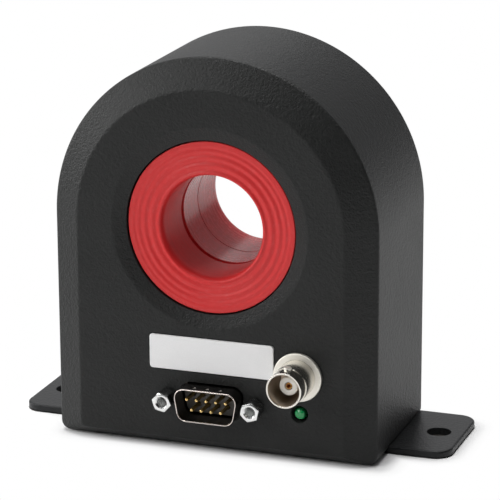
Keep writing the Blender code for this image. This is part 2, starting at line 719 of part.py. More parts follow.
def winding(name, inner, outer, start, end, layer, ridges, ridge, bore, finish):
    """Wire wound round a ring core: a hollow box section swept most of the way round, its two ends open.

    inner, outer, start and end bound the wire. The ridges stand for the bundles of turns, and the
    opening at the bottom is where the winding starts and finishes.
    """
    bm = bmesh.new()
    stations = 2 * ridges
    first = math.radians(-90.0 + WINDING_OPENING / 2)
    span = math.radians(360.0 - WINDING_OPENING)
    skins = []
    for station in range(stations + 1):
        angle = first + span * station / stations
        dip = ridge * (station % 2)
        outside = [
            (inner + dip / 2, start + dip),
            (outer - dip, start + dip),
            (outer - dip, end - dip),
            (inner + dip / 2, end - dip),
        ]
        inside = [
            (inner + layer, start + layer),
            (outer - layer, start + layer),
            (outer - layer, end - layer),
            (inner + layer, end - layer),
        ]
        loops = []
        for section in (outside, inside):
            loop = [bm.verts.new((r * math.cos(angle), y, r * math.sin(angle))) for r, y in section]
            loops.append(loop)
        skins.append(loops)
    for near, far in zip(skins, skins[1:]):
        for skin in (0, 1):
            for index in range(4):
                after = (index + 1) % 4
                bm.faces.new((near[skin][index], near[skin][after], far[skin][after], far[skin][index]))
    for end_loops in (skins[0], skins[-1]):
        for index in range(4):
            after = (index + 1) % 4
            bm.faces.new((end_loops[0][index], end_loops[0][after], end_loops[1][after], end_loops[1][index]))
    return finish_mesh(name, bm, bore, finish)


def half_can(name, inner, outer, end, split, bore):
    """Half of the screening can: a channel section ring, closed at one end and open at the split."""
    wall = CAN_WALL if split > end else -CAN_WALL
    profile = [
        (inner, end),
        (outer, end),
        (outer, split),
        (outer - CAN_WALL, split),
        (outer - CAN_WALL, end + wall),
        (inner + CAN_WALL, end + wall),
        (inner + CAN_WALL, split),
        (inner, split),
    ]
    turned(name, profile, COIL_STEPS, bore, "can_alloy")


def make_coils(bore):
    """The former, the two excitation cores, the feedback core, the can and the windings round them."""
    former_inner = LINING_RADIUS + GAP
    former_outer = COIL_BORE - GAP
    ring("coil_former", former_inner, former_outer, COIL_START, COIL_END, bore, "natural_plastic")
    inner = COIL_BORE
    outer = COIL_RADIUS
    front = COIL_START
    rear = COIL_END
    ring("front_spacer", inner, outer, front, front + SPACER_THICKNESS, bore, "foam")
    ring("rear_spacer", inner, outer, rear - SPACER_THICKNESS, rear, bore, "foam")

    front += SPACER_THICKNESS + GAP
    rear -= SPACER_THICKNESS + GAP
    winding(
        "compensation_winding",
        inner,
        outer,
        front,
        rear,
        WINDING_LAYER,
        WINDING_RIDGES,
        WINDING_RIDGE,
        bore,
        "copper_wire",
    )

    inner += WINDING_LAYER + GAP
    outer -= WINDING_LAYER + GAP
    front += WINDING_LAYER + GAP
    rear -= WINDING_LAYER + GAP
    middle = (front + rear) / 2
    half_can("shield_can_front", inner, outer, front, middle - GAP / 2, bore)
    half_can("shield_can_rear", inner, outer, rear, middle + GAP / 2, bore)

    inner += CAN_WALL + GAP
    outer -= CAN_WALL + GAP
    front += CAN_WALL + GAP
    rear -= CAN_WALL + GAP
    wrap = EXCITATION_LAYER + GAP
    for place, start in (("front", front), ("rear", rear - EXCITATION_LENGTH)):
        end = start + EXCITATION_LENGTH
        name = "excitation_core_" + place
        ring(name, inner + wrap, outer - wrap, start + wrap, end - wrap, bore, "core_strip")
        winding(
            "excitation_winding_" + place,
            inner,
            outer,
            start,
            end,
            EXCITATION_LAYER,
            WINDING_RIDGES // 2,
            0.0,
            bore,
            "copper_wire",
        )
    start = front + EXCITATION_LENGTH + GAP
    ring("feedback_core", inner, outer, start, start + FEEDBACK_LENGTH, bore, "core_strip")


# Nine-pin plug


def pin_places():
    """The pins' places about the plug's axis, the wide row on top."""
    places = []
    for count, z in ((WIDE_ROW_PINS, PIN_ROW_OFFSET), (WIDE_ROW_PINS - 1, -PIN_ROW_OFFSET)):
        for index in range(count):
            places.append(((index - (count - 1) / 2) * PIN_PITCH, z))
    return places


def make_plug(dsub):
    """The plug: stamped shell with its flange, moulded insulator, nine pins, jackscrews and nuts."""
    flange = rectangle(DSUB_FLANGE_WIDTH, DSUB_FLANGE_HEIGHT, DSUB_FLANGE_CORNER)
    shell = prism("dsub_shell", flange, DSUB_FLANGE_FRONT, DSUB_FLANGE_REAR, dsub, "tinned_steel")
    tube = prism("add_dsub_tube", d_outline(DSUB_SHEET), -DSUB_REACH, DSUB_FLANGE_FRONT + GAP, dsub)
    join(shell, tube)
    cut(shell, prism("cut_dsub_socket", d_outline(0.0), -DSUB_REACH - GAP, DSUB_FLANGE_REAR + GAP, dsub))
    for side, x in (("left", -JACKSCREW_SPACING / 2), ("right", JACKSCREW_SPACING / 2)):
        name = "cut_flange_hole_" + side
        hole = cylinder(name, JACKSCREW_STUD + GAP, CONNECTOR_WALL, DSUB_FLANGE_REAR + GAP, 12, dsub)
        cut(shell, moved(hole, x=x))

    block_start = DSUB_FLANGE_REAR + GAP
    block_end = block_start + DSUB_BLOCK_DEPTH
    block = rectangle(DSUB_BLOCK_WIDTH, DSUB_BLOCK_HEIGHT, DSUB_FLANGE_CORNER)
    insulator = prism("dsub_insulator", block, block_start, block_end, dsub, "black_plastic")
    join(insulator, prism("add_dsub_face", d_outline(-GAP), DSUB_FLOOR, block_start + GAP, dsub))
    for index, (x, z) in enumerate(pin_places(), start=1):
        hole = cylinder("cut_pin_hole_%d" % index, PIN_RADIUS + GAP, 0.0, block_end + GAP, 8, dsub)
        cut(insulator, moved(hole, x=x, z=z))
        tip = -PIN_REACH
        profile = [
            (0.0, tip),
            (0.6 * PIN_RADIUS, tip + 0.3 * PIN_RADIUS),
            (PIN_RADIUS, tip + PIN_RADIUS),
            (PIN_RADIUS, BOARD_REACH - GAP),
            (0.0, BOARD_REACH - GAP),
        ]
        moved(turned("dsub_pin_%d" % index, profile, 8, dsub, "gold"), x=x, z=z)

    nut_start = DSUB_FLANGE_REAR + GAP
    nut_end = nut_start + NUT_THICKNESS
    half = JACKSCREW_SPACING / 2
    for side, x, turn in (("left", -half, JACKSCREW_TURNS[0]), ("right", half, JACKSCREW_TURNS[1])):
        head = regular(6, JACKSCREW_FLATS, turn)
        jackscrew = prism("jackscrew_" + side, head, -GAP - JACKSCREW_LENGTH, -GAP, dsub, "zinc_steel")
        stud = cylinder("add_stud_" + side, JACKSCREW_STUD, -2 * GAP, nut_end + GAP, 12, dsub)
        front = -GAP - JACKSCREW_LENGTH
        sink = JACKSCREW_COUNTERSINK - JACKSCREW_HOLE
        mouth = [
            (0.0, front - GAP),
            (JACKSCREW_COUNTERSINK + GAP, front - GAP),
            (JACKSCREW_HOLE, front + sink),
            (JACKSCREW_HOLE, front + 0.8 * JACKSCREW_LENGTH),
            (0.0, front + 0.8 * JACKSCREW_LENGTH),
        ]
        thread = turned("cut_jack_thread_" + side, mouth, 12, dsub)
        nut = prism("jackscrew_nut_" + side, regular(6, NUT_FLATS), nut_start, nut_end, dsub, "zinc_steel")
        name = "cut_nut_" + side
        nut_hole = cylinder(name, JACKSCREW_STUD + GAP, nut_start - GAP, nut_end + GAP, 12, dsub)
        for piece in (jackscrew, stud, thread, nut, nut_hole):
            moved(piece, x=x)
        join(jackscrew, stud)
        cut(jackscrew, thread)
        cut(nut, nut_hole)


# Bayonet jack


def make_jack(bnc):
    """The jack: turned body with its two lugs, insulator, spring contact, washer and nut."""
    liner = BNC_INSULATOR_RADIUS + GAP
    edge = 0.0003
    flange_front = -GAP - BNC_FLANGE_PROUD
    profile = [
        (BNC_SOCKET_RADIUS, -BNC_REACH),
        (BNC_BARREL_RADIUS - edge, -BNC_REACH),
        (BNC_BARREL_RADIUS, -BNC_REACH + edge),
        (BNC_BARREL_RADIUS, -BNC_STEP_REACH),
        (BNC_BARREL_RADIUS + BNC_STEP_HEIGHT, -BNC_STEP_REACH),
        (BNC_BARREL_RADIUS + BNC_STEP_HEIGHT, flange_front),
        (BNC_FLANGE_RADIUS - edge, flange_front),
        (BNC_FLANGE_RADIUS, flange_front + edge),
        (BNC_FLANGE_RADIUS, -GAP),
        (BNC_THREAD_RADIUS, -GAP),
        (BNC_THREAD_RADIUS, BNC_TAIL),
        (liner, BNC_TAIL),
        (liner, -BNC_SOCKET_FLOOR),
        (BNC_SOCKET_RADIUS, -BNC_SOCKET_FLOOR),
    ]
    body = turned("bnc_body", profile, 32, bnc, "nickel")
    wall_middle = (BNC_SOCKET_RADIUS + BNC_BARREL_RADIUS) / 2
    for side, turn in (("top", 0.0), ("bottom", 180.0)):
        lug_end = BNC_BARREL_RADIUS + BNC_LUG_HEIGHT
        lug = cylinder("add_lug_" + side, BNC_LUG_RADIUS, wall_middle, lug_end, 12, bnc, axis="Z")
        lug.rotation_euler = (0.0, math.radians(turn), 0.0)
        join(body, moved(lug, y=-BNC_LUG_REACH))

    contact_bore = BNC_CONTACT_RADIUS + GAP
    insulator = [
        (contact_bore, -BNC_INSULATOR_REACH),
        (BNC_INSULATOR_RADIUS, -BNC_INSULATOR_REACH),
        (BNC_INSULATOR_RADIUS, BNC_TAIL + GAP),
        (contact_bore, BNC_TAIL + GAP),
    ]
    turned("bnc_insulator", insulator, 24, bnc, "white_plastic")
    tip = GAP - BNC_INSULATOR_REACH
    contact = [
        (0.0, tip + BNC_CONTACT_DEPTH),
        (BNC_CONTACT_HOLE, tip + BNC_CONTACT_DEPTH),
        (BNC_CONTACT_HOLE, tip),
        (BNC_CONTACT_RADIUS, tip),
        (BNC_CONTACT_RADIUS, BOARD_REACH - GAP),
        (0.0, BOARD_REACH - GAP),
    ]
    turned("bnc_contact", contact, 12, bnc, "gold")

    hole = BNC_THREAD_RADIUS + GAP
    washer_start = CONNECTOR_WALL + GAP
    washer_end = washer_start + BNC_WASHER_THICKNESS
    washer = [
        (hole, washer_start),
        (BNC_WASHER_RADIUS, washer_start),
        (BNC_WASHER_RADIUS, washer_end),
        (hole, washer_end),
    ]
    turned("bnc_lock_washer", washer, 24, bnc, "zinc_steel")
    nut_start = washer_end + GAP
    nut_end = nut_start + BNC_NUT_THICKNESS
    nut = prism("bnc_nut", regular(6, BNC_NUT_FLATS), nut_start, nut_end, bnc, "nickel")
    cut(nut, cylinder("cut_bnc_nut", hole, nut_start - GAP, nut_end + GAP, 24, bnc))


# Lamp and badge


def make_led(led):
    """The indicator lamp: domed lens, rim and two leads to the front board."""
    tip = -LED_PROUD
    dome = [(0.0, tip)]
    for step in range(1, 5):
        angle = math.radians(90.0 * step / 4)
        dome.append((LED_RADIUS * math.sin(angle), tip + LED_RADIUS * (1 - math.cos(angle))))
    end = tip + LED_BODY
    rim_front = end - 2 * LED_RIM
    profile = dome + [
        (LED_RADIUS, rim_front),
        (LED_RADIUS + LED_RIM, rim_front),
        (LED_RADIUS + LED_RIM, end),
        (0.0, end),
    ]
    lamp = turned("led", profile, 16, led, "green_lens")
    for side, x in (("left", -LED_LEAD_PITCH), ("right", LED_LEAD_PITCH)):
        lead = prism("add_led_lead_" + side, rectangle(LED_LEAD, LED_LEAD), end - GAP, BOARD_REACH - GAP, led)
        join(lamp, moved(lead, x=x))


def make_badge(badge):
    """The bare badge plate in its shallow recess."""
    front = BADGE_RECESS - GAP - BADGE_THICKNESS
    prism(
        "badge_plate",
        rectangle(BADGE_WIDTH, BADGE_HEIGHT, BADGE_CORNER),
        front,
        front + BADGE_THICKNESS,
        badge,
        "bright_badge",
    )


# Boards


def board(name, start, root):
    """A board with a hole for each standoff."""
    width = 2 * BOARD_HALF_WIDTH
    height = BOARD_TOP - BOARD_BOTTOM
    outline = rectangle(width, height, BOARD_MARGIN, 2, z=(BOARD_TOP + BOARD_BOTTOM) / 2)
    plate = prism(name, outline, start, start + BOARD_THICKNESS, root, "board")
    end = start + BOARD_THICKNESS + GAP
    for place, (x, z) in post_places().items():
        hole = cylinder("cut_%s_%s" % (name, place), STANDOFF_HOLE, start - GAP, end, 10, root)
        cut(plate, moved(hole, x=x, z=z))


def make_board_stack(root):
    """The front board behind the connectors, the power board behind it, and what joins and fills them."""
    rear_face = BOARD_REACH + BOARD_THICKNESS
    board("front_board", BOARD_REACH, root)
    board("power_board", REAR_BOARD, root)
    start = rear_face + GAP
    end = REAR_BOARD - GAP
    for place, (x, z) in post_places().items():
        standoff = prism("standoff_" + place, regular(6, STANDOFF_FLATS), start, end, root, "zinc_steel")
        stud_tip = rear_face - STANDOFF_STUD_LENGTH
        stud = cylinder("add_standoff_stud_" + place, STANDOFF_STUD, stud_tip, start + GAP, 10, root)
        depth = BOARD_SCREW_LENGTH - BOARD_THICKNESS
        thread = cylinder("cut_standoff_" + place, STANDOFF_HOLE, end - depth, end + GAP, 10, root)
        head = REAR_BOARD + BOARD_THICKNESS + GAP
        profile = [
            (0.0, head - BOARD_SCREW_LENGTH),
            (STANDOFF_STUD, head - BOARD_SCREW_LENGTH),
            (STANDOFF_STUD, head),
            (BOARD_SCREW_HEAD, head),
            (BOARD_SCREW_HEAD, head + BOARD_SCREW_HEIGHT),
            (0.0, head + BOARD_SCREW_HEIGHT),
        ]
        screw = turned("board_screw_" + place, profile, 10, root, "zinc_steel")
        for piece in (standoff, stud, thread, screw):
            moved(piece, x=x, z=z)
        join(standoff, stud)
        cut(standoff, thread)

    middle = (BOARD_TOP + BOARD_BOTTOM) / 2
    left = post_places()["lower_left"][0]
    for index, place in enumerate(("left", "right")):
        x = left + POST_INSET + CAPACITOR_RADIUS + index * 2.5 * CAPACITOR_RADIUS
        tip = REAR_BOARD - CAPACITOR_CLEARANCE
        capacitor = cylinder("capacitor_" + place, CAPACITOR_RADIUS, start, tip, 16, root, "black_plastic")
        moved(capacitor, x=x, z=middle)
    header = prism("board_header", rectangle(HEADER_WIDTH, HEADER_HEIGHT), start, end, root, "black_plastic")
    moved(header, x=DSUB_X + DSUB_FLANGE_WIDTH / 2, z=middle - HEADER_HEIGHT)

    front = REAR_BOARD + BOARD_THICKNESS + GAP
    for place, x in (("left", -TRANSISTOR_SPACING / 2), ("right", TRANSISTOR_SPACING / 2)):
        outline = rectangle(TRANSISTOR_WIDTH, TRANSISTOR_HEIGHT)
        tab_rear = front + TRANSISTOR_TAB
        transistor = prism("power_transistor_" + place, outline, front, tab_rear, root, "black_plastic")
        body_z = (TRANSISTOR_BODY - TRANSISTOR_HEIGHT) / 2
        body_outline = rectangle(TRANSISTOR_WIDTH, TRANSISTOR_BODY, z=body_z)
        body = prism("add_transistor_body_" + place, body_outline, front, front + TRANSISTOR_THICKNESS, root)
        hole_z = TRANSISTOR_HEIGHT / 2 - TRANSISTOR_HOLE_INSET
        hole = cylinder("cut_transistor_" + place, TRANSISTOR_HOLE, front - GAP, tab_rear + GAP, 12, root)
        moved(transistor, x=x, z=middle)
        moved(body, x=x, z=middle)
        moved(hole, x=x, z=middle + hole_z)
        join(transistor, body)
        cut(transistor, hole)


def main():
    """Build the whole transducer."""
    clear_scene()
    root = anchor("transducer", 0.0, 0.0)
    bore = anchor("bore_axis", 0.0, AXIS_Z)
    dsub = anchor("plug_axis", DSUB_X, DSUB_Z)
    bnc = anchor("jack_axis", BNC_X, BNC_Z)
    led = anchor("lamp_axis", LED_X, LED_Z)
    badge = anchor("badge_centre", BADGE_X, BADGE_Z)
    make_housing(root, bore, dsub, bnc, led, badge)
    make_rear_cover(bore)
    make_base_plate(root)
    make_bore_lining(bore)
    make_coils(bore)
    make_plug(dsub)
    make_jack(bnc)
    make_led(led)
    make_badge(badge)
    make_board_stack(root)


main()
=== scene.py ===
"""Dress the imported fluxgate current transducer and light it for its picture.

The frame brings the part's solids. Every class below is one sub-assembly: it reads where its solids
lie, builds finer pieces in their place and gives each piece its finish. Lengths are in metres, X runs
to the right as the front is seen, Y from the front to the back, and Z up.
"""

from __future__ import annotations

import logging
import math
from dataclasses import dataclass, replace
from enum import Enum
from typing import Any, Iterable, Mapping, Sequence

import bmesh
import bpy
from mathutils import Matrix, Vector


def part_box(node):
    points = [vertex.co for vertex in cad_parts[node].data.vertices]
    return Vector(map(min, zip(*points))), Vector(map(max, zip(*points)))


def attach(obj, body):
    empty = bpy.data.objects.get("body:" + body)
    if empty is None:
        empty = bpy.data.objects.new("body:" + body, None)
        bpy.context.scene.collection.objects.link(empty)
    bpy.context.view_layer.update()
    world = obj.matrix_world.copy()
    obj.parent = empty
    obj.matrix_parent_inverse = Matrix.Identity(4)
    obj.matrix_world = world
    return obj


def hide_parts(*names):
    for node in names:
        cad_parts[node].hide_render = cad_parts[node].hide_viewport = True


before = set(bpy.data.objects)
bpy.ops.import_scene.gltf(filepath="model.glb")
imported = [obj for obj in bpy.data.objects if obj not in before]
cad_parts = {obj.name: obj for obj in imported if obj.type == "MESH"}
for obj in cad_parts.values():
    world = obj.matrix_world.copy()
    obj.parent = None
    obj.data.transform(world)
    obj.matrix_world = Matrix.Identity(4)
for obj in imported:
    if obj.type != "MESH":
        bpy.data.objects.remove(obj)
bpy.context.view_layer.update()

log = logging.getLogger("transducer")

Span = tuple[float, float]
Point = tuple[float, float]
Outline = list[Point]
Place = tuple[float, float, float]
Colour = tuple[float, float, float]

GAP = 0.0003
TINY = 1e-7
OVERSHOOT = 0.0004
SHARP_ANGLE = math.radians(34.0)
MILLIMETRES = 1000.0


class Axis(Enum):
    """The direction that a form is turned about or pushed along."""

    BORE = "y"
    UPRIGHT = "z"


class Side(Enum):
    """Which face of the body a seat opens to."""

    FRONT = "front"
    REAR = "rear"


class Slot(Enum):
    """The record's material slots."""

    HOUSING_COAT = "housing_coat"
    PLATE_COAT = "plate_coat"
    RED_LINING = "red_lining"
    BADGE = "badge"
    TINNED_STEEL = "tinned_steel"
    ZINC_STEEL = "zinc_steel"
    NICKEL_PLATE = "nickel_plate"
    GOLD_PLATE = "gold_plate"
    BLACK_PLASTIC = "black_plastic"
    WHITE_PLASTIC = "white_plastic"
    GREEN_LENS = "green_lens"
    CIRCUIT_BOARD = "circuit_board"
    NATURAL_PLASTIC = "natural_plastic"
    COPPER_WIRE = "copper_wire"
    CORE_STRIP = "core_strip"
    CAN_ALLOY = "can_alloy"
    FOAM_PAD = "foam_pad"
    DARK_SCREW = "dark_screw"


# Shader sockets and node boards


class Signal:
    """What a node puts out. Arithmetic with it adds Math nodes."""

    def __init__(self, board: Board, socket: bpy.types.NodeSocket) -> None:
        """Wrap an output socket of the board's tree."""
        self.board = board
        self.socket = socket

    def __add__(self, other: Signal | float) -> Signal:
        """self + other."""
        return self.board.number("ADD", self, other)

    def __radd__(self, other: float) -> Signal:
        """other + self."""
        return self.board.number("ADD", other, self)

    def __sub__(self, other: Signal | float) -> Signal:
        """self - other."""
        return self.board.number("SUBTRACT", self, other)

    def __rsub__(self, other: float) -> Signal:
        """other - self."""
        return self.board.number("SUBTRACT", other, self)

    def __mul__(self, other: Signal | float) -> Signal:
        """self * other."""
        return self.board.number("MULTIPLY", self, other)

    def __rmul__(self, other: float) -> Signal:
        """other * self."""
        return self.board.number("MULTIPLY", other, self)

    def __gt__(self, other: float) -> Signal:
        """1 where self is over the limit, and 0 elsewhere."""
        return self.board.number("GREATER_THAN", self, other)

    def __lt__(self, other: float) -> Signal:
        """1 where self is under the limit, and 0 elsewhere."""
        return self.board.number("LESS_THAN", self, other)


class Board:
    """The node tree of a material, of the world or of a node group."""

    def __init__(self, tree: bpy.types.NodeTree) -> None:
        """Take over a tree."""
        self.tree = tree

    def feed(self, socket: bpy.types.NodeSocket, value: Any) -> None:
        """Link a signal to a socket, or set its constant.

        Args:
            socket: The socket to feed.
            value: A signal or a constant.
        """
        if isinstance(value, Signal):
            self.tree.links.new(value.socket, socket)
        else:
            socket.default_value = value

    def node(
        self,
        kind: str,
        settings: Mapping[str, Any] | None = None,
        values: Mapping[int | str, Any] | None = None,
        out: int | str = 0,
    ) -> Signal:
        """Add a node.

        Args:
            kind: The node's type.
            settings: Its own settings, set first. "stops" holds a ramp's (place, grey) pairs.
            values: Constants or signals for its input sockets.
            out: Which output to return.

        Returns:
            The chosen output as a signal.
        """
        made = self.tree.nodes.new(kind)
        for name, value in (settings or {}).items():
            if name == "stops":
                self._set_stops(made.color_ramp, value)
            else:
                setattr(made, name, value)
        for name, value in (values or {}).items():
            self.feed(made.inputs[name], value)
        return Signal(self, made.outputs[out])

    @staticmethod
    def _set_stops(ramp: bpy.types.ColorRamp, stops: Sequence[Point]) -> None:
        """Give a ramp its stops.

        Args:
            ramp: The ramp.
            stops: Each stop as (place, grey), in order.
        """
        while len(ramp.elements) < len(stops):
            ramp.elements.new(1.0)
        for element, (place, grey) in zip(ramp.elements, stops):
            element.position = place
            element.color = (grey, grey, grey, 1.0)

    def number(self, operation: str, *values: Signal | float) -> Signal:
        """Add a Math node over one or two values."""
        return self.node("ShaderNodeMath", {"operation": operation}, dict(enumerate(values)))

    def vector(self, operation: str, *values: Any, out: int | str = 0) -> Signal:
        """Add a Vector Math node over one or two vectors."""
        return self.node("ShaderNodeVectorMath", {"operation": operation}, dict(enumerate(values)), out)

    def place(self) -> Signal:
        """The point on the surface, in metres."""
        return self.node("ShaderNodeTexCoord", out="Object")

    def split(self, value: Signal, axes: str = "XYZ") -> list[Signal]:
        """The named parts of a vector."""
        return [self.node("ShaderNodeSeparateXYZ", values={0: value}, out=axis) for axis in axes]

    def axis_parts(self, centre: Vector) -> tuple[Signal, Signal, Signal]:
        """Where the point lies about an axis that runs from front to back.

        Args:
            centre: A point on the axis.

        Returns:
            The distance from the axis, the place along it, and the angle round it in radians.
        """
        x, y, z = self.split(self.vector("SUBTRACT", self.place(), tuple(centre)))
        radius = self.number("SQRT", x * x + z * z)
        return radius, y, self.number("ARCTAN2", z, x)

    def noise(self, size: float, detail: float = 2.0, stretch: Place = (1.0, 1.0, 1.0)) -> Signal:
        """Soft random values from 0 to 1.

        Args:
            size: How wide one feature is, in metres.
            detail: How many finer layers it has.
            stretch: The scale along X, Y and Z.

        Returns:
            The noise as a signal.
        """
        where = self.vector("MULTIPLY", self.place(), stretch)
        values = {"Vector": where, "Scale": 1.0 / size, "Detail": detail, "Roughness": 0.55}
        return self.node("ShaderNodeTexNoise", values=values)

    def lines(self, where: Signal, pitch: float) -> Signal:
        """Random values along one measure, as a tool leaves its lines."""
        values = {"W": where, "Scale": 1.0 / pitch, "Detail": 2.0}
        return self.node("ShaderNodeTexNoise", {"noise_dimensions": "1D"}, values)

    def ramp(self, value: Signal, *stops: Point) -> Signal:
        """Map a value through grey stops."""
        return self.node("ShaderNodeValToRGB", {"stops": stops}, {0: value})

    def rise(self, value: Signal, start: float, end: float) -> Signal:
        """Run from 0 at the start to 1 at the end."""
        return self.ramp(value, (start, 0.0), (end, 1.0))

    def mix(self, factor: Signal, low: Colour | Signal, high: Colour | Signal) -> Signal:
        """Blend two colours, whose sockets go by number: the node's other kinds share their names."""
        ends = [(*end, 1.0) if isinstance(end, tuple) else end for end in (low, high)]
        return self.node("ShaderNodeMix", {"data_type": "RGBA"}, {0: factor, 6: ends[0], 7: ends[1]}, 2)

    def shades(self, factor: Signal, colour: Colour, span: Span) -> Signal:
        """Run between two shades of one colour, given as shares of it."""
        return self.mix(factor, tint(colour, span[0]), tint(colour, span[1]))

    def vary(self, mean: Signal | float, swings: Sequence[float], *signals: Signal) -> Signal:
        """Let a value wander about its mean.

        Args:
            mean: The value without any swing.
            swings: How far each signal swings the value in all.
            signals: The signals, from 0 to 1.

        Returns:
            The wandering value.
        """
        for swing, signal in zip(swings, signals):
            mean = mean + swing * (signal - 0.5)
        return mean

    def bump(self, height: Signal, depth: float) -> Signal:
        """Turn heights from 0 to 1 into a normal, with a depth in metres."""
        return self.node("ShaderNodeBump", values={"Height": height, "Distance": depth, "Strength": 1.0})

    def shade(self, **values: Any) -> None:
        """Set or link sockets of the Principled shader.

        Args:
            values: A constant or a signal for each socket, named with underscores for spaces.
        """
        shader = self.tree.nodes["Principled BSDF"]
        for name, value in values.items():
            if isinstance(value, tuple):
                value = (*value, 1.0)
            self.feed(shader.inputs[name.replace("_", " ")], value)


def tint(colour: Colour, share: float) -> Colour:
    """A colour made lighter or darker by a share."""
    return tuple(min(1.0, part * share) for part in colour)


# Finishes


@dataclass(frozen=True)
class Finish:
    """What a surface is made of and how it was worked.

    The patch is the size of its soft blotches, the relief is the depth of its skin, the span is the
    darkest and the lightest share of its colour, and the swings are how far its roughness wanders.
    """

    slot: Slot
    colour: Colour
    roughness: float
    metallic: float = 0.0
    specular: float = 0.5
    patch: float = 0.003
    relief: float = 0.00002
    span: Span = (0.88, 1.1)
    swings: tuple[float, ...] = (0.1,)

    def material(self, name: str, centre: Vector) -> bpy.types.Material:
        """Make the material of one piece.

        Args:
            name: The piece's name.
            centre: The middle of the piece, for finishes that turn about it.

        Returns:
            The material.
        """
        made = bpy.data.materials.new(name)
        made.use_nodes = True
        board = Board(made.node_tree)
        board.shade(Metallic=self.metallic, Specular_IOR_Level=self.specular)
        self.paint(board, centre)
        return made

    def paint(self, board: Board, centre: Vector) -> None:
        """Lay the finish on the board's shader."""
        raise NotImplementedError


@dataclass(frozen=True)
class Coat(Finish):
    """A sprayed and baked coat: an even colour with a fine pebbled skin.

    The shares say how much of the shade comes from the soft clouds, the pebbles and the orange peel.
    """

    patch: float = 0.012
    relief: float = 0.00013
    span: Span = (0.72, 1.28)
    swings: tuple[float, ...] = (0.08, 0.06)
    pebble: float = 0.00048
    orange_peel: float = 0.00115
    shares: tuple[float, float, float] = (0.35, 0.45, 0.2)
    pebble_height: float = 0.55

    def paint(self, board: Board, centre: Vector) -> None:
        """Lay the pebbled coat.

        Args:
            board: The material's board.
            centre: The middle of the piece; not used here.
        """
        cloud = board.noise(self.patch, detail=3.0)
        speck = board.noise(self.pebble, detail=1.5)
        pebbles = board.rise(speck, 0.32, 0.72)
        peel = board.rise(board.noise(self.orange_peel, detail=1.0), 0.32, 0.70)
        clouds = board.rise(cloud, 0.3, 0.7)
        shade = clouds * self.shares[0] + pebbles * self.shares[1] + peel * self.shares[2]
        height = pebbles * self.pebble_height + peel * (1.0 - self.pebble_height)
        board.shade(
            Base_Color=self.tone(board, board.shades(shade, self.colour, self.span)),
            Roughness=board.vary(self.roughness, self.swings, speck, cloud),
            Normal=board.bump(height, self.relief),
        )

    def tone(self, board: Board, coat: Signal) -> Signal:
        """The coat's colour where nothing masks it."""
        return coat


@dataclass(frozen=True)
class PaleHoleCoat(Coat):
    """The coat of a foot plate, with the walls of its fixing holes painted paler as painted light."""

    hole_reach: float = 0.055
    hole_radius: float = 0.00335
    hole_light_share: float = 4.0

    def tone(self, board: Board, coat: Signal) -> Signal:
        """Paint the coat paler inside the fixing holes, as painted light.

        Args:
            board: The material's board.
            coat: The coat's colour.

        Returns:
            The colour with the holes' walls in it.
        """
        x, y = board.split(board.place(), "XY")
        across = board.number("ABSOLUTE", x) - self.hole_reach
        radius = board.number("SQRT", across * across + y * y)
        # Painted light: a paler copy of the coat on the hole walls.
        return board.mix(radius < self.hole_radius, coat, tint(self.colour, self.hole_light_share))


@dataclass(frozen=True)
class LiningPlastic(Finish):
    """Turned red plastic: satin and lightly scuffed on the flange, smoother along the bore."""

    patch: float = 0.0012
    relief: float = 0.000012
    span: Span = (0.93, 1.07)
    swings: tuple[float, ...] = (0.14, 0.10)
    bore_radius: float = 0.014
    bore_lines_and_shade_span: Span = (0.817, 1.026)
    bore_roughness: float = 0.27
    turning_pitch: float = 0.00032
    line_height: float = 0.6
    along_share: float = 0.35
    across_share: float = 0.7
    scuff_width: float = 0.0004
    scuff_turn: float = 0.004
    scuff_sheen_colour: Colour = (0.8, 0.5, 0.5)
    scuff_sheen_strength: float = 0.05
    scuff_gloss: float = 0.16

    def paint(self, board: Board, centre: Vector) -> None:
        """Lay the two zones, the tool's fine lines and the scuffs that run across them.

        Args:
            board: The material's board.
            centre: The middle of the piece.
        """
        radius, along, angle = board.axis_parts(centre)
        flange = board.rise((radius - self.bore_radius) * MILLIMETRES, 0.1, 0.55)
        streak = board.noise(self.patch, detail=3.0)
        line = board.lines(along * self.along_share + radius * self.across_share, self.turning_pitch)
        across = board.node("ShaderNodeCombineXYZ", values={"X": radius, "Y": angle * self.scuff_turn})
        values = {"Vector": across, "Scale": 1.0 / self.scuff_width, "Detail": 3.0}
        scuff = board.node("ShaderNodeTexNoise", values=values)
        scuffed = board.rise(scuff, 0.52, 0.72) * flange
        # The bore's wall is painted a little darker than the flange: the tool's lines, plus a painted shade
        # inside the bore.
        wall = board.shades(line, self.colour, self.bore_lines_and_shade_span)
        plain = board.shades(streak, self.colour, self.span)
        # The scuffs are real wear in the roughness; their pale pink colour is a painted sheen.
        face = board.mix(scuffed * self.scuff_sheen_strength, plain, self.scuff_sheen_colour)
        gloss = flange * (self.roughness - self.bore_roughness) + self.bore_roughness
        height = line * self.line_height + streak * (1.0 - self.line_height)
        board.shade(
            Base_Color=board.mix(flange, wall, face),
            Roughness=board.vary(gloss - scuffed * self.scuff_gloss, self.swings, streak, line),
            Normal=board.bump(height, self.relief),
        )


@dataclass(frozen=True)
class MouldedPlastic(Finish):
    """Moulded plastic with a faint flow pattern and a fine eroded skin."""

    relief: float = 0.000008
    swings: tuple[float, ...] = (0.12, 0.06)
    skin: float = 0.00025

    def paint(self, board: Board, centre: Vector) -> None:
        """Lay the moulded skin.

        Args:
            board: The material's board.
            centre: The middle of the piece; not used here.
        """
        flow = board.noise(self.patch)
        skin = board.noise(self.skin)
        board.shade(
            Base_Color=board.shades(flow, self.colour, self.span),
            Roughness=board.vary(self.roughness, self.swings, flow, skin),
            Normal=board.bump(skin, self.relief),
        )


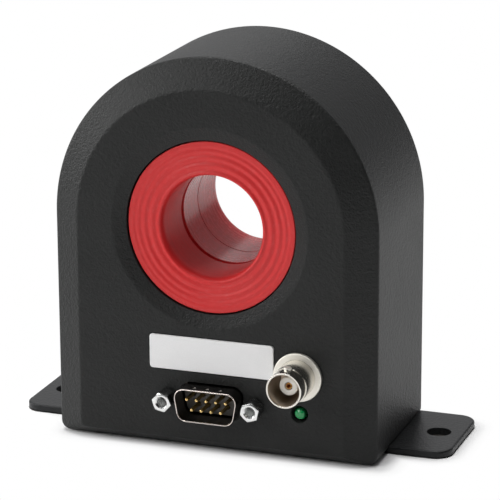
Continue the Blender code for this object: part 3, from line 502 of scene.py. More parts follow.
@dataclass(frozen=True)
class TurnedMetal(Finish):
    """Plated metal turned on a lathe: fine rings about its own axis.

    It is duller from the flange's start outwards, where its colour is scaled by a painted-light share:
    lighter on the jack's flange, darker on the pins' shafts, where shade falls. Inside the inner radius a
    darker colour is painted in as shade.
    """

    patch: float = 0.0018
    relief: float = 0.0000008
    span: Span = (0.94, 1.03)
    swings: tuple[float, ...] = (0.06, 0.04)
    pitch: float = 0.00016
    across_share: float = 1.7
    flange_start: float = 0.0050
    flange_light_share: float = 1.2
    flange_dulling: float = 0.3
    inner_dulling: float = 0.1
    inner_radius: float = 0.0
    inner_shade_colour: Colour = (0.0, 0.0, 0.0)

    def paint(self, board: Board, centre: Vector) -> None:
        """Lay the tool's rings and a light tarnish.

        Args:
            board: The material's board.
            centre: The middle of the piece.
        """
        radius, along, _ = board.axis_parts(centre)
        ring = board.lines(along + radius * self.across_share, self.pitch)
        tarnish = board.noise(self.patch, detail=3.0)
        flange = board.rise((radius - self.flange_start) * MILLIMETRES, 0.06, 0.12)
        barrel = board.shades(tarnish, self.colour, self.span)
        # Painted light and shade: the flange zone takes a lighter copy of the colour on the jack and a
        # darker one on the pins.
        plated = board.mix(flange, barrel, tint(self.colour, self.flange_light_share))
        # Painted shade: a darker colour fills the inside of the inner radius.
        inside = radius < self.inner_radius
        gloss = flange * self.flange_dulling + self.roughness + inside * self.inner_dulling
        board.shade(
            Base_Color=board.mix(inside, plated, self.inner_shade_colour),
            Roughness=board.vary(gloss, self.swings, tarnish, ring),
            Normal=board.bump(ring, self.relief),
        )


@dataclass(frozen=True)
class StampedMetal(Finish):
    """Plated sheet or bar stock: soft blotches and fine scratches along one direction.

    It is painted darker inside a bored radius and behind the rim's end, a painted shade for the shade and
    dark reflections that fall there.
    """

    patch: float = 0.0015
    relief: float = 0.0000012
    span: Span = (0.88, 1.06)
    swings: tuple[float, ...] = (0.08, 0.06)
    scratch_length: float = 0.0012
    scratch: Place = (1.0, 8.0, 8.0)
    # Painted shade: the bored radius and the two shares below set where the colour is painted darker, and by
    # how much.
    bored: float = 0.0
    bore_shade_share: float = 0.8
    rim_end: float = 1.0
    rear_shade_share: float = 0.24

    def paint(self, board: Board, centre: Vector) -> None:
        """Lay the blotches and scratches.

        Args:
            board: The material's board.
            centre: The middle of the piece.
        """
        blotch = board.noise(self.patch, detail=3.0)
        scratch = board.noise(self.scratch_length, 3.0, self.scratch)
        radius, along, _ = board.axis_parts(centre)
        plated = board.shades(blotch, self.colour, self.span)
        # Painted shade behind the rim's end and inside the bored radius.
        behind = board.mix(along > self.rim_end, plated, tint(self.colour, self.rear_shade_share))
        board.shade(
            Base_Color=board.mix(radius < self.bored, behind, tint(self.colour, self.bore_shade_share)),
            Roughness=board.vary(self.roughness, self.swings, blotch, scratch),
            Normal=board.bump(scratch, self.relief),
        )


@dataclass(frozen=True)
class BadgeFoil(Finish):
    """A bare satin label plate with a fine blasted grain."""

    patch: float = 0.006
    relief: float = 0.000006
    span: Span = (0.9, 1.08)
    swings: tuple[float, ...] = (0.2,)
    grain: float = 0.00022
    grain_share: float = 0.75

    def paint(self, board: Board, centre: Vector) -> None:
        """Lay the grain.

        Args:
            board: The material's board.
            centre: The middle of the piece; not used here.
        """
        grain = board.noise(self.grain, detail=3.0)
        cloud = board.noise(self.patch)
        shade = grain * self.grain_share + cloud * (1.0 - self.grain_share)
        board.shade(
            Base_Color=board.shades(shade, self.colour, self.span),
            Roughness=board.vary(self.roughness, self.swings, grain),
            Normal=board.bump(grain, self.relief),
        )


@dataclass(frozen=True)
class LensPlastic(Finish):
    """Clear tinted plastic over an unlit die: it is painted darker towards its rim, a painted shade and dark
    reflection where the dome turns away.
    """

    patch: float = 0.0006
    relief: float = 0.00001
    span: Span = (1.0, 0.12)
    core_radius: float = 0.0016
    swirl_share: float = 0.5
    gloss: float = 0.25

    def paint(self, board: Board, centre: Vector) -> None:
        """Lay the tinted lens, painted darker from its core to its rim as painted shade.

        Args:
            board: The material's board.
            centre: The middle of the piece.
        """
        radius, _, _ = board.axis_parts(centre)
        # Painted shade: the colour falls to a dark share towards the rim.
        rim = board.rise(radius * (1.0 / self.core_radius), 0.70, 0.98)
        swirl = board.noise(self.patch)
        colour = board.shades(rim, self.colour, self.span)
        board.shade(
            Base_Color=board.mix(swirl * self.swirl_share, colour, tint(self.colour, self.swirl_share)),
            Roughness=board.vary(self.roughness, self.swings, swirl),
            Coat_Weight=self.gloss,
            Normal=board.bump(swirl, self.relief),
        )


@dataclass(frozen=True)
class Laminate(Finish):
    """Glass-fibre board under solder mask, with the weave and faint tracks showing."""

    span: Span = (0.85, 1.15)
    weave: float = 0.0006
    weave_height: float = 0.3
    track: float = 0.0025
    track_share: float = 1.8

    def paint(self, board: Board, centre: Vector) -> None:
        """Lay the weave and the tracks.

        Args:
            board: The material's board.
            centre: The middle of the piece; not used here.
        """
        turn = 2.0 * math.pi / self.weave
        warp, weft = (board.number("SINE", part * turn) for part in board.split(board.place(), "XZ"))
        weave = warp * weft * 0.5 + 0.5
        tracks = board.node(
            "ShaderNodeTexVoronoi",
            {"distance": "CHEBYCHEV", "feature": "DISTANCE_TO_EDGE"},
            {"Vector": board.place(), "Scale": 1.0 / self.track},
        )
        copper = board.ramp(tracks, (0.05, 1.0), (0.09, 0.0))
        mask = board.shades(weave, self.colour, self.span)
        height = weave * self.weave_height + copper * (1.0 - self.weave_height)
        board.shade(
            Base_Color=board.mix(copper, mask, tint(self.colour, self.track_share)),
            Roughness=board.vary(self.roughness, self.swings, weave),
            Normal=board.bump(height, self.relief),
        )


@dataclass(frozen=True)
class WireTurns(Finish):
    """Enamelled wire wound round a ring, turn beside turn."""

    patch: float = 0.004
    relief: float = 0.00012
    span: Span = (0.45, 1.15)
    swings: tuple[float, ...] = (0.12,)
    turns: float = 180.0
    wander: float = 3.0

    def paint(self, board: Board, centre: Vector) -> None:
        """Lay the turns as ridges round the ring, with painted shade in the grooves between them.

        Args:
            board: The material's board.
            centre: The middle of the piece.
        """
        _, _, angle = board.axis_parts(centre)
        drift = board.noise(self.patch)
        # Painted shade: the colour darkens in the grooves between turns, in step with the bump.
        turn = board.number("SINE", angle * self.turns + drift * self.wander) * 0.5 + 0.5
        board.shade(
            Base_Color=board.shades(turn, self.colour, self.span),
            Roughness=board.vary(self.roughness, self.swings, drift),
            Normal=board.bump(turn, self.relief),
        )


@dataclass(frozen=True)
class StripCore(Finish):
    """Thin alloy strip wound into a ring core, its edges showing as fine circles."""

    span: Span = (0.7, 1.2)
    swings: tuple[float, ...] = (0.16,)
    strip: float = 0.00014

    def paint(self, board: Board, centre: Vector) -> None:
        """Lay the strip's edges as circles.

        Args:
            board: The material's board.
            centre: The middle of the piece.
        """
        radius, _, _ = board.axis_parts(centre)
        layer = board.lines(radius, self.strip)
        blotch = board.noise(self.patch)
        board.shade(
            Base_Color=board.shades(layer, self.colour, self.span),
            Roughness=board.vary(self.roughness, self.swings, blotch),
            Normal=board.bump(layer, self.relief),
        )


@dataclass(frozen=True)
class OpenFoam(Finish):
    """Open-cell foam."""

    relief: float = 0.0002
    span: Span = (0.6, 1.4)
    cell: float = 0.0007
    cell_gloss: float = 0.1

    def paint(self, board: Board, centre: Vector) -> None:
        """Lay the cells.

        Args:
            board: The material's board.
            centre: The middle of the piece; not used here.
        """
        values = {"Vector": board.place(), "Scale": 1.0 / self.cell}
        cells = board.node("ShaderNodeTexVoronoi", values=values)
        board.shade(
            Base_Color=board.shades(cells, self.colour, self.span),
            Roughness=self.roughness - self.cell_gloss * cells,
            Normal=board.bump(cells, self.relief),
        )


RED = (0.61, 0.028, 0.029)
BRIGHT_ZINC = (0.84, 0.85, 0.84)
COPPER = (0.62, 0.24, 0.10)

HOUSING_COAT = Coat(Slot.HOUSING_COAT, (0.0142, 0.0148, 0.0144), 0.46, specular=0.26)
PLATE_COAT = PaleHoleCoat(
    Slot.PLATE_COAT, (0.0140, 0.0146, 0.0154), 0.37, specular=0.26, pebble=0.00053, relief=0.00006
)
FLANGE_RED = LiningPlastic(Slot.RED_LINING, RED, 0.42, specular=0.3, bore_roughness=0.48)
SLEEVE_RED = LiningPlastic(Slot.RED_LINING, RED, 0.42, specular=0.4)
BADGE_FOIL = BadgeFoil(Slot.BADGE, (0.82, 0.82, 0.82), 0.38, 0.1)
TINNED = StampedMetal(Slot.TINNED_STEEL, (0.80, 0.73, 0.68), 0.17, 1.0)
ZINC = StampedMetal(Slot.ZINC_STEEL, BRIGHT_ZINC, 0.24, 1.0)
# The jackscrews get painted shade in their tapped holes and on their flanks.
BORED_ZINC = StampedMetal(Slot.ZINC_STEEL, BRIGHT_ZINC, 0.26, 1.0, bored=0.0015, rear_shade_share=0.4)
# The jack's flange is painted lighter, and its socket is painted a darker, warmer shade.
NICKEL = TurnedMetal(
    Slot.NICKEL_PLATE, (0.74, 0.715, 0.655), 0.22, 1.0, inner_radius=0.00437, inner_shade_colour=(0.62, 0.53, 0.44)
)
# The pins' shafts are painted darker, a painted shade inside the plug's shell.
PIN_GOLD = TurnedMetal(
    Slot.GOLD_PLATE, (0.90, 0.66, 0.28), 0.22, 1.0, pitch=0.0001, flange_start=0.00037, flange_light_share=0.5
)
# The contact's hole is painted dark red, a painted shade deep in the hole.
CONTACT_GOLD = TurnedMetal(
    Slot.GOLD_PLATE,
    (0.86, 0.42, 0.12),
    0.26,
    1.0,
    pitch=0.0001,
    inner_radius=0.00056,
    inner_shade_colour=(0.45, 0.05, 0.012),
)
BLACK_PLASTIC = MouldedPlastic(Slot.BLACK_PLASTIC, (0.020, 0.020, 0.020), 0.42)
# Painted light: a lighter copy of the black plastic for the plug's insulator, which sits in the shell's
# shade.
LIT_INSULATOR_PLASTIC = MouldedPlastic(Slot.BLACK_PLASTIC, (0.092, 0.088, 0.080), 0.42)
WHITE_PLASTIC = MouldedPlastic(Slot.WHITE_PLASTIC, (0.96, 0.94, 0.86), 0.42)
GREEN_LENS = LensPlastic(Slot.GREEN_LENS, (0.005, 0.29, 0.078), 0.16)
CIRCUIT_BOARD = Laminate(Slot.CIRCUIT_BOARD, (0.018, 0.13, 0.055), 0.40)
NATURAL_PLASTIC = MouldedPlastic(Slot.NATURAL_PLASTIC, (0.52, 0.50, 0.43), 0.5)
COPPER_WIRE = WireTurns(Slot.COPPER_WIRE, COPPER, 0.32, 0.9)
FINE_WIRE = WireTurns(Slot.COPPER_WIRE, COPPER, 0.32, 0.9, turns=260.0)
CORE_STRIP = StripCore(Slot.CORE_STRIP, (0.34, 0.34, 0.36), 0.38, 0.95)
CAN_ALLOY = StampedMetal(Slot.CAN_ALLOY, (0.52, 0.52, 0.53), 0.34, 1.0)
FOAM = OpenFoam(Slot.FOAM_PAD, (0.09, 0.09, 0.10), 0.92)
DARK_SCREW = StampedMetal(Slot.DARK_SCREW, (0.06, 0.06, 0.063), 0.36, 0.85)


# Sizes and sets of solids that more than one class uses


RUN_IN = 0.001
FLOOR_WALL = 0.003
LINING_WALL = 0.0025
COVER_LIP = 0.0025
COVER_THICKNESS = 0.003
STUD_HOLE = 0.0017

CORNERS = ("upper_left", "upper_right", "lower_left", "lower_right")
COVER_SCREWS = tuple("cover_screw_" + corner for corner in CORNERS)
BASE_SCREWS = ("base_screw_left", "base_screw_right")
JACKSCREWS = ("jackscrew_left", "jackscrew_right")
PINS = tuple("dsub_pin_%d" % number for number in range(1, 10))
STANDOFFS = ("standoff_lower_left", "standoff_upper_left", "standoff_lower_right", "standoff_upper_middle")
BOARD_SCREWS = tuple(node.replace("standoff", "board_screw") for node in STANDOFFS)
KEPT_SOLIDS = {
    NATURAL_PLASTIC: ("coil_former",),
    FOAM: ("front_spacer", "rear_spacer"),
    COPPER_WIRE: ("compensation_winding",),
    FINE_WIRE: ("excitation_winding_front", "excitation_winding_rear"),
    CAN_ALLOY: ("shield_can_front", "shield_can_rear"),
    CORE_STRIP: ("excitation_core_front", "excitation_core_rear", "feedback_core"),
    NICKEL: ("bnc_nut",),
    ZINC: ("jackscrew_nut_left", "jackscrew_nut_right", "bnc_lock_washer", *STANDOFFS, *BOARD_SCREWS),
    CIRCUIT_BOARD: ("front_board", "power_board"),
    BLACK_PLASTIC: (
        "capacitor_left",
        "capacitor_right",
        "board_header",
        "power_transistor_left",
        "power_transistor_right",
    ),
}


# Outlines


def arc(centre: Point, radius: float, start: float, end: float, steps: int) -> Outline:
    """Points on an arc, both ends included, with angles in degrees."""
    turns = [math.radians(start + (end - start) * step / steps) for step in range(steps + 1)]
    return [(centre[0] + radius * math.cos(turn), centre[1] + radius * math.sin(turn)) for turn in turns]


def quarter(steps: int) -> Outline:
    """A quarter turn as (cosine, sine), both ends included."""
    return arc((0.0, 0.0), 1.0, 0.0, 90.0, steps)


def circle(radius: float, steps: int) -> Outline:
    """A circle about the datum."""
    return arc((0.0, 0.0), radius, 0.0, 360.0, steps)[1:]


def hexagon(flats: float, turn: float = 0.0) -> Outline:
    """A hexagon by its width over flats, turned by an angle in degrees."""
    return arc((0.0, 0.0), flats / math.sqrt(3.0), turn, turn + 360.0, 6)[1:]


def rectangle(width: float, height: float, radius: float = 0.0, steps: int = 6) -> Outline:
    """A rectangle about the datum, sharp or with rounded corners."""
    w, h = width / 2, height / 2
    return soften([(-w, -h, radius), (w, -h, radius), (w, h, radius), (-w, h, radius)], steps, closed=True)


def soften(corners: Sequence[Place], steps: int = 3, closed: bool = False) -> Outline:
    """Round the corners of a line.

    Args:
        corners: Each corner as (across, along, radius). A radius of 0 leaves it sharp.
        steps: How many facets each rounded corner has.
        closed: Whether the last corner leads back to the first.

    Returns:
        The rounded line.
    """
    points: Outline = []
    count = len(corners)
    for index, (across, along, radius) in enumerate(corners):
        if radius == 0.0 or (not closed and index in (0, count - 1)):
            points.append((across, along))
            continue
        corner = Vector((across, along))
        before = (Vector(corners[index - 1][:2]) - corner).normalized()
        after = (Vector(corners[(index + 1) % count][:2]) - corner).normalized()
        half = before.angle(after) / 2
        centre = corner + (before + after).normalized() * radius / math.sin(half)
        first = corner + before * radius / math.tan(half) - centre
        last = corner + after * radius / math.tan(half) - centre
        sweep = math.pi - 2 * half
        for step in range(steps + 1):
            share = step / steps
            spoke = first * math.sin((1 - share) * sweep) + last * math.sin(share * sweep)
            points.append(tuple(centre + spoke / math.sin(sweep)))
    return points


def hole(radius: float, start: float, end: float, mouth: float, tail: float = 0.0) -> Outline:
    """The turned profile of a hole's cutter.

    Args:
        radius: The hole's radius.
        start: Where it opens.
        end: Where it ends.
        mouth: The chamfer where it opens.
        tail: The chamfer where it ends.

    Returns:
        The profile as (radius, along), which runs past both ends.
    """
    sign = 1.0 if end > start else -1.0
    first, last = start - sign * OVERSHOOT, end + sign * OVERSHOOT
    return [
        (0.0, first),
        (radius + mouth + OVERSHOOT, first) if mouth else (radius, first),
        (radius, start + sign * mouth),
        (radius, end - sign * tail),
        (radius + tail + OVERSHOOT, last) if tail else (radius, last),
        (0.0, last),
    ]


def thread(wall: float, groove: float, start: float, end: float, pitch: float) -> Outline:
    """The line of a thread.

    Args:
        wall: The radius between the grooves.
        groove: The radius at the bottom of a groove.
        start: Where it starts.
        end: Where it has to stop.
        pitch: From one groove to the next.

    Returns:
        The line as (radius, along), which ends in a groove.
    """
    points: Outline = []
    along = start
    while along < end - pitch:
        points += [(wall, along), (groove, along + pitch / 2)]
        along += pitch
    return points


# Forms


def settle(name: str, mesh_code: bmesh.types.BMesh) -> bpy.types.Object:
    """Turn mesh code into an object in the scene, with its faces turned outwards.

    Args:
        name: The object's name.
        mesh_code: The mesh, which is used up.

    Returns:
        The object.
    """
    bmesh.ops.remove_doubles(mesh_code, verts=mesh_code.verts, dist=TINY)
    bmesh.ops.recalc_face_normals(mesh_code, faces=mesh_code.faces)
    mesh = bpy.data.meshes.new(name)
    mesh_code.to_mesh(mesh)
    mesh_code.free()
    made = bpy.data.objects.new(name, mesh)
    bpy.context.scene.collection.objects.link(made)
    return made


@dataclass(frozen=True)
class Bench:
    """Builds forms about a datum: a point and the direction that forms are pushed or turned along."""

    datum: Vector
    axis: Axis = Axis.BORE

    def at(self, across: float, along: float, up: float) -> Vector:
        """A point given across the axis, along it and at right angles to both."""
        return self.datum + Vector((across, along, up) if self.axis is Axis.BORE else (across, up, along))

    def loft(self, name: str, sections: Sequence[tuple[Outline, float]]) -> bpy.types.Object:
        """Lay a closed skin over outlines.

        Args:
            name: The object's name.
            sections: Outlines of equal count, each with its place along the axis.

        Returns:
            The object.
        """
        mesh_code = bmesh.new()
        rings = [
            [mesh_code.verts.new(self.at(across, along, up)) for across, up in outline]
            for outline, along in sections
        ]
        count = len(rings[0])
        for near, far in zip(rings, rings[1:]):
            for index in range(count):
                after = (index + 1) % count
                mesh_code.faces.new((near[index], near[after], far[after], far[index]))
        mesh_code.faces.new(rings[0])
        mesh_code.faces.new(rings[-1])
        return settle(name, mesh_code)

    def prism(self, name: str, outline: Outline, start: float, end: float) -> bpy.types.Object:
        """Push an outline along the axis."""
        return self.loft(name, [(outline, start), (outline, end)])

    def turn(self, name: str, profile: Outline, steps: int) -> bpy.types.Object:
        """Turn a closed profile about the axis.

        Args:
            name: The object's name.
            profile: (radius, along) points. Points on the axis become poles.
            steps: How many facets go round.

        Returns:
            The object.
        """
        mesh_code = bmesh.new()
        rings = []
        for radius, along in profile:
            spokes = [(0.0, 0.0)] if radius < TINY else circle(radius, steps)
            rings.append([mesh_code.verts.new(self.at(across, along, up)) for across, up in spokes])
        for near, far in zip(rings, rings[1:] + rings[:1]):
            if len(near) == len(far) == 1:
                continue
            for index in range(steps):
                after = (index + 1) % steps
                corners = [near[index % len(near)], near[after % len(near)]]
                corners += [far[after % len(far)], far[index % len(far)]]
                mesh_code.faces.new(list(dict.fromkeys(corners)))
        return settle(name, mesh_code)


class Workpiece:
    """A blank that is worked by adding, cutting and trimming with tools."""

    def __init__(self, blank: bpy.types.Object) -> None:
        """Clamp the blank."""
        self.blank = blank
        self.tools: list[bpy.types.Object] = []

    def _work(self, operation: str, tools: Iterable[bpy.types.Object]) -> Workpiece:
        """Queue one Boolean for each tool.

        Args:
            operation: The Boolean's operation.
            tools: The objects to work with.

        Returns:
            The same workpiece.
        """
        for tool in tools:
            modifier = self.blank.modifiers.new(tool.name, "BOOLEAN")
            modifier.operation = operation
            modifier.solver = "EXACT"
            modifier.object = tool
            self.tools.append(tool)
        return self

    def add(self, *tools: bpy.types.Object) -> Workpiece:
        """Join tools to the piece."""
        return self._work("UNION", tools)

    def cut(self, *tools: bpy.types.Object) -> Workpiece:
        """Take tools away from the piece."""
        return self._work("DIFFERENCE", tools)

    def trim(self, *tools: bpy.types.Object) -> Workpiece:
        """Keep only what lies inside each tool."""
        return self._work("INTERSECT", tools)

    def done(self) -> bpy.types.Object:
        """Work the piece and put the tools away.

        Returns:
            The worked piece.
        """
        bpy.context.view_layer.update()
        graph = bpy.context.evaluated_depsgraph_get()
        mesh = bpy.data.meshes.new_from_object(self.blank.evaluated_get(graph))
        self.blank.modifiers.clear()
        self.blank.data = mesh
        mesh.name = self.blank.name
        for tool in self.tools:
            bpy.data.objects.remove(tool, do_unlink=True)
        return self.blank


def dress(piece: bpy.types.Object, finish: Finish, node: str, even: bool = True) -> bpy.types.Object:
    """Finish a new piece and put it in its solid's place.

    Args:
        piece: The piece.
        finish: Its finish.
        node: The solid that it stands for.
        even: Whether wide faces keep flat normals up to their rounded edges.

    Returns:
        The piece.
    """
    mesh = piece.data
    mesh.shade_smooth()
    mesh.set_sharp_from_angle(angle=SHARP_ANGLE)
    if even:
        modifier = piece.modifiers.new("even_normals", "WEIGHTED_NORMAL")
        modifier.keep_sharp = True
    mesh.materials.clear()
    mesh.materials.append(finish.material(piece.name, Box.of(node).centre))
    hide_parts(node)
    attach(piece, "root")
    log.info("%s stands for %s, %d faces", piece.name, node, len(mesh.polygons))
    return piece


# Where the solids lie


@dataclass(frozen=True)
class Box:
    """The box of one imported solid."""

    low: Vector
    high: Vector

    @classmethod
    def of(cls, node: str) -> Box:
        """Read a node's box from the frame."""
        low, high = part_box(node)
        return cls(Vector(low), Vector(high))

    @property
    def centre(self) -> Vector:
        """The middle of the box."""
        return (self.low + self.high) / 2

    @property
    def size(self) -> Vector:
        """The box's width, depth and height."""
        return self.high - self.low

    def upright_bench(self) -> Bench:
        """A bench for upright forms, at height 0 under the box's middle."""
        return Bench(Vector((self.centre.x, self.centre.y, 0.0)), Axis.UPRIGHT)


@dataclass(frozen=True)
class Body:
    """The main places that the sub-assemblies share, and the arch that the body follows."""

    front: float
    depth: float
    half_width: float
    bottom: float
    axis: Vector
    floor: float
    lining_radius: float
    flange_radius: float
    steps: int = 144
    corner_steps: int = 5

    @classmethod
    def read(cls) -> Body:
        """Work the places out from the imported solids.

        Returns:
            The body.
        """
        housing = Box.of("housing")
        sleeve = Box.of("bore_sleeve")
        return cls(
            front=housing.low.y,
            depth=housing.size.y,
            half_width=housing.size.x / 2,
            bottom=housing.low.z,
            axis=Vector((sleeve.centre.x, housing.low.y, sleeve.centre.z)),
            floor=Box.of("base_plate").high.z + GAP + FLOOR_WALL,
            lining_radius=sleeve.size.x / 2,
            flange_radius=Box.of("front_bushing").size.x / 2,
        )

    def bench(self, node: str) -> Bench:
        """A bench on the front face in line with a solid."""
        centre = Box.of(node).centre
        return Bench(Vector((centre.x, self.front, centre.z)))

    def along(self, node: str) -> Span:
        """Where a solid starts and ends behind the front face."""
        box = Box.of(node)
        return box.low.y - self.front, box.high.y - self.front

    def behind(self, side: Side, depth: float) -> float:
        """A depth behind one face of the body, as a depth behind its front face."""
        return depth if side is Side.FRONT else self.depth - depth

    def arch(self, half_width: float, bottom: float, corner: float) -> Outline:
        """The body's outline about the bore axis: straight sides under a half circle.

        Args:
            half_width: Half the width.
            bottom: The height of its lower edge.
            corner: The radius of its two lower corners.

        Returns:
            The outline.
        """
        low = bottom - self.axis.z
        points = arc((half_width - corner, low + corner), corner, -90.0, 0.0, self.corner_steps)
        points += arc((0.0, 0.0), half_width, 0.0, 180.0, self.steps)
        points += arc((corner - half_width, low + corner), corner, 180.0, 270.0, self.corner_steps)
        return points


# Fasteners


@dataclass
class CountersunkScrew:
    """A countersunk socket screw, set flush."""

    node: str
    head_share: float = 1.75
    head_edge: float = 0.0001
    drive_depth: float = 0.0009
    drive_share: float = 1.3
    pitch: float = 0.0005
    thread_depth: float = 0.00012
    steps: int = 36

    @property
    def axis(self) -> Axis:
        """The direction that the screw is driven along."""
        return Axis.BORE if self.node in COVER_SCREWS else Axis.UPRIGHT

    @property
    def shank(self) -> float:
        """The shank's radius."""
        return Box.of(self.node).size.x / 2 / self.head_share

    @property
    def bore(self) -> float:
        """The radius of the shank's hole."""
        return self.shank + GAP

    @property
    def length(self) -> float:
        """The screw's length."""
        size = Box.of(self.node).size
        return size.y if self.axis is Axis.BORE else size.z

    @property
    def inwards(self) -> float:
        """Which way the screw points along its axis."""
        return -1.0 if self.axis is Axis.BORE else 1.0

    def _bench(self) -> Bench:
        """The bench at the face of the head.

        Returns:
            The bench.
        """
        box = Box.of(self.node)
        face = box.centre
        if self.axis is Axis.BORE:
            face.y = box.high.y
        else:
            face.z = box.low.z
        return Bench(face, self.axis)

    def _turned(self, name: str, profile: Outline) -> bpy.types.Object:
        """Turn a profile given as (radius, depth below the head's face)."""
        signed = [(radius, self.inwards * depth) for radius, depth in profile]
        return self._bench().turn(name, signed, self.steps)

    def clearance(self) -> bpy.types.Object:
        """The countersunk hole that the screw goes through, with a gap all round.

        Returns:
            The hole's cutter.
        """
        mouth = self.shank * self.head_share + 2 * GAP
        end = self.length + GAP
        cone = [(0.0, -OVERSHOOT), (mouth, -OVERSHOOT), (mouth, 0.0), (self.bore, mouth - self.bore)]
        return self._turned("cut_screw", [*cone, (self.bore, end), (0.0, end)])

    def build(self) -> None:
        """Turn the screw, press its socket and roll its thread."""
        shank = self.shank
        head = shank * self.head_share
        neck = self.head_edge + head - shank
        groove = shank - self.thread_depth
        profile = [
            (0.0, 0.0),
            (head - self.head_edge, 0.0),
            (head, self.head_edge),
            (shank, neck),
            *thread(shank, groove, neck + self.pitch, self.length, self.pitch),
            (groove, self.length),
            (0.0, self.length),
        ]
        socket = hexagon(shank * self.drive_share)
        ends = (-self.inwards * OVERSHOOT, self.inwards * self.drive_depth)
        piece = Workpiece(self._turned(self.node + "_turned", profile))
        piece.cut(self._bench().prism("cut_drive", socket, *ends))
        dress(piece.done(), DARK_SCREW, self.node)


# Housing, cover and foot plate


@dataclass(frozen=True)
class BoreSeat:
    """The coned recess and counterbore that a lining flange seats in."""

    body: Body
    side: Side
    flange_depth: float = 0.0044
    wall: float = 0.003
    boss_wall: float = 0.0035
    cone_run: float = 0.0037
    cone_depth: float = 0.0014
    lip_radius: float = 0.006
    edge_radius: float = 0.0002
    lead: float = 0.1

    def boss(self, start: float) -> bpy.types.Object:
        """The ring behind the wall.

        Args:
            start: The depth that it starts from.

        Returns:
            The ring's blank.
        """
        body = self.body
        outline = circle(body.flange_radius + self.boss_wall, body.steps)
        end = self.flange_depth + GAP + self.wall
        ends = (body.behind(self.side, start), body.behind(self.side, end))
        return Bench(body.axis).prism("add_seat", outline, *ends)

    def cutter(self) -> bpy.types.Object:
        """The recess, the counterbore and the hole for the lining's tube.

        Returns:
            Their cutter.
        """
        body = self.body
        bore = body.flange_radius + GAP
        tube = body.lining_radius + GAP
        seat = self.flange_depth + GAP
        end = seat + self.wall + GAP
        corners = [
            (0.0, -OVERSHOOT, 0.0),
            (bore + self.cone_run + OVERSHOOT / self.lead, -OVERSHOOT, 0.0),
            (bore + self.cone_run, 0.0, self.lip_radius),
            (bore, self.cone_depth, self.edge_radius),
            (bore, seat, 0.0),
            (tube, seat, 0.0),
            (tube, end, 0.0),
            (0.0, end, 0.0),
        ]
        profile = [(radius, body.behind(self.side, along)) for radius, along in soften(corners, steps=4)]
        return Bench(body.axis).turn("cut_seat", profile, body.steps)


